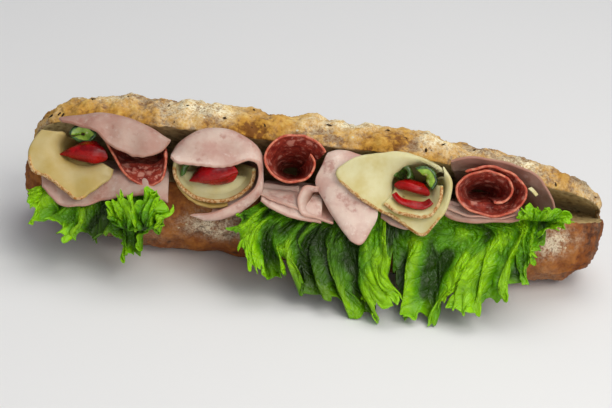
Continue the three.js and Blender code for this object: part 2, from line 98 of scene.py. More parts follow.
# How far the lid stands open along the loaf; it opens more to the left and closes to the right
def opening(x):
    station = 2 * x / loaf["length"]
    left, right = loaf["closing"]
    closing = np.where(station < 0, -left * station**2, right * smooth(0.2, 0.75, station))
    return np.radians(mix(*loaf["openDegrees"], (station + 1) / 2) * (1 - closing))


# 1 in the middle of the loaf, 0 at its tips
def taper(station, powers):
    power = np.where(station < 0, powers[0], powers[1])
    return (1 - np.abs(station) ** power) ** (1 / power)


# How far the lid's back edge, on which it turns, lies in front of the back seam
def lidEdge(x):
    low, high = loaf["lidEnds"]
    station = np.clip((2 * x - low - high) / (high - low), -1, 1)
    return loaf["cutHalfWidth"] * (1 - taper(station, loaf["lidWidth"]))


# A smooth line through a few points of the mouth
def lineThrough(*points):
    given = np.array(points, float)
    held = np.vstack([2 * given[0] - given[1], given, 2 * given[-1] - given[-2]])

    def at(s):
        place = np.clip(s, 0, 1) * (len(given) - 1)
        i = np.minimum(place.astype(int), len(given) - 2)
        return between(held[i], held[i + 1], held[i + 2], held[i + 3], (place - i)[:, None])

    return at


# Catmull-Rom between b and c
def between(a, b, c, d, w):
    return b + 0.5 * w * (c - a + w * (2 * a - 5 * b + 4 * c - d + w * (3 * (b - c) + d - a)))


# Part of an ellipse round a point of the mouth, which can grow like a spiral and lean outwards
def arc(at, size, turn, grow=0, power=1, lean=0, leanAt=90):
    def on(s):
        angle = np.radians(mix(turn[0], turn[1], s))
        scale = 1 + grow * s**power
        x = at[0] + size[0] * scale * np.cos(angle)
        u = at[1] + size[1] * scale * np.sin(angle)
        n = at[2] + lean * np.cos(angle - math.radians(leanAt))
        return np.stack([x, u, n], -1)

    return on


# The surface through lines laid one behind another; t is 0 at the rim and 1 at the root
def throughLines(lines, s, t):
    rows = np.stack([line(s) for line in lines], 1)
    first = 2 * rows[:, :1] - rows[:, 1:2]
    last = 2 * rows[:, -1:] - rows[:, -2:-1]
    held = np.concatenate([first, rows, last], 1)
    place = np.clip(t, 0, 1) * (len(lines) - 1)
    i = np.minimum(place.astype(int), len(lines) - 2)
    k = np.arange(len(s))[:, None]
    return between(held[k, i], held[k, i + 1], held[k, i + 2], held[k, i + 3], (place - i)[..., None])


# How far out from the seam the faces end, how steeply they fall away there, and room below the lid
mouth = {"baseRim": 70, "lidRim": 65, "steep": 2.4, "steeper": 0.6, "belowLid": 1.4, "corner": 0.8}


# Keeps a surface between the cut faces, with room below it; past the rims it can hang or stand
def betweenCuts(p, below):
    x, u, n = p[..., 0], p[..., 1], p[..., 2]
    past = np.maximum(n - mouth["baseRim"], 0)
    floor = -math.tan(cutDrop) * n + below - mouth["steep"] * past - mouth["steeper"] * past**2
    edge = lidEdge(x)
    lidFace = np.tan(opening(x) - cutDrop) * (n - edge) - math.tan(cutDrop) * edge
    roof = lidFace - mouth["belowLid"] + mouth["steep"] * np.maximum(n - mouth["lidRim"], 0)
    u = softMax(u, floor, mouth["corner"])
    u = -softMax(-u, -roof, mouth["corner"])
    return np.stack([x, u, n], -1)


# Slow uneven waves over a set of places, about -1 to 1
def waves(p, size, seed, count=7):
    rng = np.random.default_rng(seed)
    total = np.zeros(p.shape[:-1])
    for _ in range(count):
        direction = rng.normal(size=3)
        direction *= rng.uniform(0.6, 1.5) * 2 * np.pi / size / np.linalg.norm(direction)
        total += np.sin(p @ direction + rng.uniform(0, 2 * np.pi))
    return total / math.sqrt(count)


def addObject(name, data):
    made = bpy.data.objects.new(name, data)
    bpy.context.scene.collection.objects.link(made)
    return made


# A smooth-shaded closed mesh from millimetre points, turned outwards, with a number for each point by name
def meshPiece(name, points, faces, numbers=None):
    points = points.reshape(-1, 3)
    a, b, c, d = (points[faces[:, i]] for i in range(4))
    volume = np.einsum("ij,ij->i", a, np.cross(b, c)) + np.einsum("ij,ij->i", a, np.cross(c, d))
    if volume.sum() < 0:
        faces = faces[:, ::-1]
    mesh = bpy.data.meshes.new(name)
    mesh.from_pydata((points * mm).tolist(), [], [list(dict.fromkeys(f)) for f in faces.tolist()])
    for key, values in (numbers or {}).items():
        mesh.attributes.new(key, "FLOAT", "POINT").data.foreach_set("value", np.ravel(values).astype("f"))
    mesh.validate()
    mesh.shade_smooth()
    return addObject(name, mesh)


# Gives the piece its material and the body it moves with, and hides the frame's nodes that it stands for
def settle(piece, slot, material, *nodes):
    piece.data.materials.clear()
    piece.data.materials.append(material)
    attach(piece, "root")
    if nodes:
        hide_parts(*nodes)
    return piece


def pieceName(node):
    first, *rest = node.split("_")
    return first + "".join(word.capitalize() for word in rest)


# Node trees: a node with its inputs, and short forms for what is used most
def addNode(tree, kind, inputs=None, **settings):
    node = tree.nodes.new(kind)
    for key, value in settings.items():
        setattr(node, key, value)
    for key, value in (inputs or {}).items():
        if isinstance(value, bpy.types.NodeSocket):
            tree.links.new(value, node.inputs[key])
        else:
            node.inputs[key].default_value = value
    return node


def calc(tree, operation, *values, clamp=False):
    inputs = dict(enumerate(values))
    return addNode(tree, "ShaderNodeMath", inputs, operation=operation, use_clamp=clamp).outputs[0]


def remap(tree, value, low, high, toLow=0.0, toHigh=1.0):
    inputs = {"Value": value, "From Min": low, "From Max": high, "To Min": toLow, "To Max": toHigh}
    return addNode(tree, "ShaderNodeMapRange", inputs, interpolation_type="SMOOTHSTEP").outputs[0]


def vectorCalc(tree, operation, inputs):
    return addNode(tree, "ShaderNodeVectorMath", inputs, operation=operation).outputs[0]


def scaleFor(tree, size):
    return calc(tree, "DIVIDE", 1.0, size) if isinstance(size, bpy.types.NodeSocket) else 1 / size


def noiseOf(tree, place, size, detail=4.0, roughness=0.55, seed=0.0):
    inputs = {
        "Vector": place, "W": seed, "Scale": scaleFor(tree, size), "Detail": detail, "Roughness": roughness,
    }
    return addNode(tree, "ShaderNodeTexNoise", inputs, noise_dimensions="4D").outputs[0]


# Each seed moves the place along, so that its cells are others
def cellsOf(tree, place, size, feature="F1", seed=0.0):
    place = vectorCalc(tree, "ADD", {0: place, 1: calc(tree, "MULTIPLY", seed, 0.37)})
    inputs = {"Vector": place, "Scale": scaleFor(tree, size)}
    return addNode(tree, "ShaderNodeTexVoronoi", inputs, feature=feature)


def mixColours(tree, factor, a, b):
    return addNode(tree, "ShaderNodeMix", {0: factor, 6: a, 7: b}, data_type="RGBA").outputs[2]


# A colour as a picture shows it, 0 to 255, for a socket
def colour(*shown):
    return (*(((c / 255 + 0.055) / 1.055) ** 2.4 if c > 10 else c / 3294.6 for c in shown), 1.0)


# Lays a colour over the tint as a value goes from low to high, by up to the given amount
def overlay(tree, tint, shown, value, low, high, amount=1.0):
    much = calc(tree, "MULTIPLY", remap(tree, value, low, high), amount)
    return mixColours(tree, much, tint, colour(*shown))


def newMaterial(name, roughness, sockets=None):
    material = bpy.data.materials.new(name)
    material.use_nodes = True
    tree = material.node_tree
    shader = tree.nodes["Principled BSDF"]
    shader.inputs["Roughness"].default_value = roughness
    for key, value in (sockets or {}).items():
        shader.inputs[key].default_value = value
    place = tree.nodes.new("ShaderNodeTexCoord").outputs["Object"]
    return material, tree, shader, place


def numberOf(tree, name):
    return addNode(tree, "ShaderNodeAttribute", attribute_name=name).outputs["Fac"]


def dress(tree, shader, tint, height=None, distance=0.0005, strength=0.6, roughness=None):
    tree.links.new(tint, shader.inputs["Base Color"])
    if roughness is not None:
        tree.links.new(roughness, shader.inputs["Roughness"])
    if height is not None:
        inputs = {"Height": height, "Distance": distance, "Strength": strength}
        tree.links.new(addNode(tree, "ShaderNodeBump", inputs).outputs[0], shader.inputs["Normal"])


# A geometry tree with named inputs; returns it with the sockets of its two ends
def newTree(name, inputs):
    kinds = {float: "NodeSocketFloat", str: "NodeSocketString", bpy.types.Material: "NodeSocketMaterial"}
    tree = bpy.data.node_groups.new(name, "GeometryNodeTree")
    tree.interface.new_socket("Geometry", in_out="INPUT", socket_type="NodeSocketGeometry")
    for label, value in inputs.items():
        kind = kinds[type(value)]
        tree.interface.new_socket(label, in_out="INPUT", socket_type=kind).default_value = value
    tree.interface.new_socket("Geometry", in_out="OUTPUT", socket_type="NodeSocketGeometry")
    return tree, tree.nodes.new("NodeGroupInput").outputs, tree.nodes.new("NodeGroupOutput").inputs


# Runs a tree on a piece and keeps the result as its plain mesh
def runTree(piece, tree, values):
    modifier = piece.modifiers.new(tree.name, "NODES")
    modifier.node_group = tree
    for item in tree.interface.items_tree:
        if item.in_out == "INPUT" and item.name in values:
            modifier[item.identifier] = values[item.name]
    graph = bpy.context.evaluated_depsgraph_get()
    made = bpy.data.meshes.new_from_object(
        piece.evaluated_get(graph), preserve_all_data_layers=True, depsgraph=graph
    )
    piece.modifiers.remove(modifier)
    piece.data = made


# Camera at the photo's angle: it looks into the mouth from the front, turned a little about its own axis.
# The target is a place in the mouth, in millimetres
view = {
    "target": (-3.5, -14, 60),
    "distance": 950,
    "roll": math.radians(6),
    "pixelsPerMm": 1.9845,
    "imageWidth": 612,
    "sensor": 36,
}
tilt = loaf["mouthTilt"]
upward = Vector((0, math.sin(tilt), math.cos(tilt)))
backward = Vector((0, -math.cos(tilt), math.sin(tilt)))
along = Vector((1, 0, 0))
turn = view["roll"]
right = math.cos(turn) * along + math.sin(turn) * upward
top = math.cos(turn) * upward - math.sin(turn) * along
cameraData = bpy.data.cameras.new("camera")
cameraData.sensor_width = view["sensor"]
cameraData.lens = view["pixelsPerMm"] * view["distance"] / view["imageWidth"] * view["sensor"]
cameraData.clip_end = 20
cameraPlace = Vector(fromMouth(np.array(view["target"], float))) + view["distance"] * backward
camera = addObject("camera", cameraData)
camera.matrix_world = (
    Matrix.Translation(cameraPlace * mm) @ Matrix((right, top, backward)).transposed().to_4x4()
)
bpy.context.scene.camera = camera
print("camera placed")

# Pale floor, soft lights
studio = {
    "floorSize": 6.0,
    "floorColours": ((236, 236, 234), (231, 231, 230)),
    "floorPatches": 0.4,
    "world": (0.86, 0.9, 1.0),
    "worldStrength": 0.3,
    "lights": {
        # name: place, aim, size in metres, watts, colour
        "keyLight": ((0.55, -0.62, 0.98), (0.05, -0.03, 0.04), 0.8, 7.2, (1.0, 0.965, 0.92)),
        "topLight": ((0.25, 0.3, 1.25), (0.03, 0, 0.03), 1.1, 7, (1.0, 0.98, 0.95)),
        "frontLight": ((0.3, -1.3, 0.6), (0.03, -0.03, 0.04), 0.8, 4.5, (1.0, 0.98, 0.96)),
    },
}
floorMaterial, floorTree, floorShader, floorPlace = newMaterial("floor", 0.7)
floorCloud = noiseOf(floorTree, floorPlace, studio["floorPatches"])
floorTint = mixColours(floorTree, floorCloud, *(colour(*shown) for shown in studio["floorColours"]))
dress(floorTree, floorShader, floorTint)
half = studio["floorSize"] / 2
corners = [(-half, -half, 0), (half, -half, 0), (half, half, 0), (-half, half, 0)]
floorMesh = bpy.data.meshes.new("floor")
floorMesh.from_pydata(corners, [], [(0, 1, 2, 3)])
floorMesh.materials.append(floorMaterial)
addObject("floor", floorMesh)

world = bpy.data.worlds.new("studio")
world.use_nodes = True
world.node_tree.nodes["Background"].inputs[0].default_value = (*studio["world"], 1)
world.node_tree.nodes["Background"].inputs[1].default_value = studio["worldStrength"]
bpy.context.scene.world = world
bpy.context.scene.view_settings.view_transform = "Standard"

for name, (place, aim, size, watts, tint) in studio["lights"].items():
    lamp = bpy.data.lights.new(name, "AREA")
    lamp.shape = "DISK"
    lamp.size = size
    lamp.energy = watts
    lamp.color = tint
    holder = addObject(name, lamp)
    holder.location = place
    holder.rotation_euler = (Vector(aim) - Vector(place)).to_track_quat("-Z", "Y").to_euler()
print("stage lit")

# Bread: rings of a superellipse along the loaf, with crags from a geometry tree
breadMesh = {"rings": 470, "crustSteps": 124, "cutSteps": 44}
breadBase = {
    "ends": (-148.5, 148.5),
    "reach": lambda x: loaf["baseDepth"] + 1.5 * smooth(90, 125, x),
    "power": 2.5,
    "width": (3.8, 4),
    "depth": (3.8, 4.2),
    "waves": [(0.55, 0.11, 2, 0.4), (0.45, 0.23, -3, 1.7), (0.3, 0.37, 5, 0.2)],
    "inLid": False,
    # the crust folds in under the right end
    "fold": {"depth": 1.8, "at": 2.05, "width": 0.1, "lean": 0.012, "middle": 130, "begins": (112, 132)},
    # flour and scorch marks: x, place round the crust, width of each, strength
    "dust": ((-48, 2.66, 15, 0.2, 0.9), (121, 2.9, 12, 0.2, 1), (-110, 2.3, 12, 0.3, 0.4)),
    "scorch": ((-63, 2.5, 3, 0.07, 1), (95, 1.7, 20, 0.4, 0.5)),
    "relief": {
        "Crag height": 0.0012,
        "Crag size": 0.011,
        "Blister height": 0.0005,
        "Blister size": 0.0032,
        "Pore depth": 0.0011,
        "Pore size": 0.0034,
        "Seed": 3.0,
    },
}
breadLid = {
    "ends": loaf["lidEnds"],
    "reach": lambda x: loaf["lidHeight"] + 1.2 * np.cos((x + 112) / 48) - 2.4 * smooth(30, 95, x),
    "power": 2.3,
    "width": loaf["lidWidth"],
    "depth": (3.7, 2.6),
    "waves": [(0.6, 0.13, 3, 2.2), (0.5, 0.21, -2, 0.6), (0.4, 0.41, 4, 1.1)],
    "inLid": True,
    "dust": (
        (14, 2.25, 18, 0.4, 1), (-62, 2.4, 16, 0.35, 0.8), (-108, 2.2, 14, 0.35, 0.7),
        (62, 2.4, 13, 0.3, 0.7), (106, 2.3, 12, 0.35, 0.8), (-24, 1.4, 22, 0.4, 0.6),
    ),
    "scorch": (
        (72, 1.62, 15, 0.24, 1), (136, 1.9, 8, 0.8, 0.9), (-20, 1.5, 8, 0.16, 0.8),
        (-126, 1.9, 12, 0.4, 0.5), (40, 1.5, 10, 0.12, 0.6),
    ),
    "relief": {
        "Crag height": 0.0013,
        "Crag size": 0.0105,
        "Blister height": 0.0006,
        "Blister size": 0.003,
        "Pore depth": 0.0012,
        "Pore size": 0.0036,
        "Seed": 8.0,
    },
}


# Places from the cut face outwards; the base is flat where it stands
def placeInBase(x, across, rise):
    p = fromLoaf(x, across, loaf["baseDepth"] - rise)
    p[..., 2] = np.maximum(p[..., 2], 0)
    return p


# The lid turns on its back edge. It sits this far into the base at the seam and past it, in millimetres
lidSunk = {"atSeam": 1.7, "beyond": 0.5, "within": 9}


def placeInLid(x, across, rise):
    angle = opening(x)
    halfWidth = loaf["cutHalfWidth"] - lidEdge(x)
    fromSeam = halfWidth - across
    lift = rise - mix(lidSunk["atSeam"], lidSunk["beyond"], smooth(0, lidSunk["within"], fromSeam))
    outwards = halfWidth - fromSeam * np.cos(angle) + lift * np.sin(angle)
    return fromLoaf(x, outwards, loaf["baseDepth"] + fromSeam * np.sin(angle) + lift * np.cos(angle))


def loafHalf(name, half):
    place = placeInLid if half["inLid"] else placeInBase
    rings, crustSteps, cutSteps = breadMesh["rings"], breadMesh["crustSteps"], breadMesh["cutSteps"]
    station = np.sin((np.arange(1, rings) / rings - 0.5) * np.pi)[:, None]
    x = mix(*half["ends"], (station + 1) / 2)
    width = loaf["cutHalfWidth"] * taper(station, half["width"])
    depth = half["reach"](x) * taper(station, half["depth"])
    angle = np.linspace(0, np.pi, crustSteps + 1)[None, :]
    side = np.sign(np.cos(angle)) * np.abs(np.cos(angle)) ** (2 / half["power"])
    rise = np.sin(angle) ** (2 / half["power"])
    relief = sum(h * np.sin(x * a + angle * b + c) for h, a, b, c in half["waves"])
    if "fold" in half:
        fold = half["fold"]
        there = bump(fold["at"], fold["width"], angle + fold["lean"] * (x - fold["middle"]))
        relief = relief - fold["depth"] * there * smooth(*fold["begins"], x)
    swell = 1 + relief * np.minimum(rise * 2, 1) / depth
    crust = place(x, width * side * mix(1, swell, 0.5), depth * rise * swell)
    across = np.linspace(-1, 1, cutSteps + 1)[None, 1:-1]
    cut = place(x, width * across, 0 * x + 0 * across)
    skin = np.concatenate([crust, cut], 1)
    onCrust = np.concatenate([np.ones_like(angle), smooth(0.985, 1.0, np.abs(across))], 1)
    onCrust = np.broadcast_to(onCrust, skin.shape[:2])
    tips = np.stack([place(np.float64(end), 0, 0) for end in half["ends"]])

    count, around = skin.shape[:2]
    i, j = np.meshgrid(np.arange(count - 1), np.arange(around), indexing="ij")
    a, b = i * around + j, i * around + (j + 1) % around
    faces = np.stack([a, b, b + around, a + around], -1).reshape(-1, 4)
    j = np.arange(around)
    after = (j + 1) % around
    first, last = count * around, count * around + 1
    end = (count - 1) * around
    tipFaces = [
        np.stack([after, j, j * 0 + first, j * 0 + first], -1),
        np.stack([end + j, end + after, j * 0 + last, j * 0 + last], -1),
    ]
    points = np.concatenate([skin.reshape(-1, 3), tips])
    numbers = {"crust": np.concatenate([onCrust.ravel(), [1.0, 1.0]])}
    for key in ("dust", "scorch"):
        there = sum(
            much * bump(at, wide, x) * bump(turned, tall, angle) for at, turned, wide, tall, much in half[key]
        )
        onCut = np.zeros((count, around - angle.shape[1]))
        numbers[key] = np.concatenate([np.concatenate([there, onCut], 1).ravel(), [0.0, 0.0]])
    piece = meshPiece(name, points, np.concatenate([faces, *tipFaces]), numbers)
    runTree(piece, crustTree, half["relief"])
    return piece


def numberInTree(tree, name):
    return addNode(tree, "GeometryNodeInputNamedAttribute", {"Name": name}, data_type="FLOAT").outputs[0]


def movedBy(tree, geometry, direction, distance):
    offset = vectorCalc(tree, "SCALE", {0: direction, "Scale": distance})
    return addNode(tree, "GeometryNodeSetPosition", {"Geometry": geometry, "Offset": offset}).outputs[0]


# Crags and blisters lift the crust, pores sink into the crumb
def makeCrustTree():
    sizes = dict.fromkeys(breadBase["relief"], 0.001)
    tree, given, out = newTree("crustRelief", sizes)
    place = tree.nodes.new("GeometryNodeInputPosition").outputs[0]
    normal = tree.nodes.new("GeometryNodeInputNormal").outputs[0]
    onCrust = numberInTree(tree, "crust")
    seed = given["Seed"]
    crag = remap(tree, noiseOf(tree, place, given["Crag size"], 5.0, 0.62, seed), 0.32, 0.68, -1.0, 1.0)
    blister = remap(tree, noiseOf(tree, place, given["Blister size"], 3.0, 0.5, seed), 0.4, 0.7)
    lifted = calc(tree, "MULTIPLY", crag, given["Crag height"])
    lifted = calc(tree, "MULTIPLY_ADD", blister, given["Blister height"], lifted)
    up = addNode(tree, "ShaderNodeSeparateXYZ", {0: place}).outputs["Z"]
    lifted = calc(tree, "MULTIPLY", lifted, remap(tree, up, 0.0005, 0.006))  # flat where it stands
    lifted = calc(tree, "MULTIPLY", lifted, onCrust)
    cells = cellsOf(tree, place, given["Pore size"], "SMOOTH_F1", seed).outputs["Distance"]
    sunk = calc(tree, "MULTIPLY", remap(tree, cells, 0.42, 0.12), given["Pore depth"])
    sunk = calc(tree, "MULTIPLY", sunk, calc(tree, "SUBTRACT", 1.0, onCrust))
    marked = movedBy(tree, given["Geometry"], normal, calc(tree, "SUBTRACT", lifted, sunk))
    for label, value in {"crag": crag, "pore": remap(tree, cells, 0.46, 0.14)}.items():
        inputs = {"Geometry": marked, "Name": label, "Value": value}
        marked = addNode(
            tree, "GeometryNodeStoreNamedAttribute", inputs, data_type="FLOAT", domain="POINT"
        ).outputs[0]
    tree.links.new(marked, out[0])
    return tree


# Crust colours: painted shade in the hollows and painted light on the crags, scorch in patches and in the
# marked places, flour over both, crumb on the cut face
crustLooks = {
    "baseCrust": {
        "scorched": (66, 36, 14),
        "dark": (76, 36, 10),
        "mid": (130, 70, 24),
        "light": (164, 100, 40),
        "flour": (226, 208, 178),
        "flourAmount": 0.1,
        "crumb": (206, 178, 120),
        "burn": 0.15,
        "seed": 1.0,
    },
    "lidCrust": {
        "scorched": (66, 36, 14),
        "dark": (122, 74, 18),
        "mid": (194, 142, 52),
        "light": (224, 184, 94),
        "flour": (246, 236, 200),
        "flourAmount": 0.22,
        "crumb": (214, 190, 134),
        "burn": 0.35,
        "seed": 5.0,
    },
}


def crustMaterial(name, look):
    material, tree, shader, place = newMaterial(name, 0.8, {"Specular IOR Level": 0.3})
    seed = look["seed"]
    broad = noiseOf(tree, place, 0.024, 5.0, 0.6, seed)
    fine = noiseOf(tree, place, 0.0034, 5.0, 0.65, seed)
    tone = calc(tree, "MULTIPLY_ADD", calc(tree, "SUBTRACT", broad, 0.5), 1.3, fine)
    # painted shade in the hollows and painted light on the crags, from the crag height
    tone = calc(tree, "MULTIPLY_ADD", numberOf(tree, "crag"), 0.11, tone)
    tint = mixColours(tree, remap(tree, tone, 0.3, 0.52), colour(*look["dark"]), colour(*look["mid"]))
    tint = overlay(tree, tint, look["light"], tone, 0.5, 0.8)
    burnt = noiseOf(tree, place, 0.013, 5.0, 0.7, seed + 3)
    scorch = calc(tree, "MULTIPLY", remap(tree, burnt, 0.36, 0.56), numberOf(tree, "scorch"))
    burnt = calc(tree, "MULTIPLY_ADD", remap(tree, burnt, 0.56, 0.72), look["burn"], scorch)
    tint = mixColours(tree, calc(tree, "MINIMUM", burnt, 0.9), tint, colour(*look["scorched"]))
    # flour: thin all over, thick in the marked places, and grainy
    cloud = noiseOf(tree, place, 0.03, 3.0, 0.6, seed + 7)
    grain = noiseOf(tree, place, 0.0011, 4.0, 0.75, seed + 9)
    clumps = noiseOf(tree, place, 0.0052, 4.0, 0.7, seed + 11)
    thin = calc(tree, "MULTIPLY", remap(tree, cloud, 0.42, 0.66), look["flourAmount"] * 2.2)
    thick = calc(tree, "MULTIPLY", numberOf(tree, "dust"), remap(tree, clumps, 0.36, 0.6, 0.2, 1.5))
    dusted = calc(tree, "ADD", thin, thick)
    dusted = calc(tree, "MULTIPLY", dusted, remap(tree, grain, 0.36, 0.6, 0.15, 1.0), clamp=True)
    tint = mixColours(tree, dusted, tint, colour(*look["flour"]))
    crumb = mixColours(tree, fine, colour(*look["crumb"]), colour(*(c * 0.72 for c in look["crumb"])))
    # painted shade: the sunken pores of the crumb are darker
    crumb = mixColours(tree, calc(tree, "MULTIPLY", numberOf(tree, "pore"), 0.6), crumb, colour(96, 72, 40))
    tint = mixColours(tree, numberOf(tree, "crust"), crumb, tint)
    height = calc(tree, "MULTIPLY_ADD", grain, 0.4, fine)
    dress(tree, shader, tint, height, 0.0009, 0.75, remap(tree, fine, 0.3, 0.7, 0.72, 0.92))
    return material


crustTree = makeCrustTree()
baseMaterial = crustMaterial("baseCrust", crustLooks["baseCrust"])
lidMaterial = crustMaterial("lidCrust", crustLooks["lidCrust"])
basePiece = settle(loafHalf("breadBase", breadBase), "base_crust", baseMaterial, "bread_base")
lidPiece = settle(loafHalf("breadLid", breadLid), "lid_crust", lidMaterial, "bread_lid")
print("bread baked")
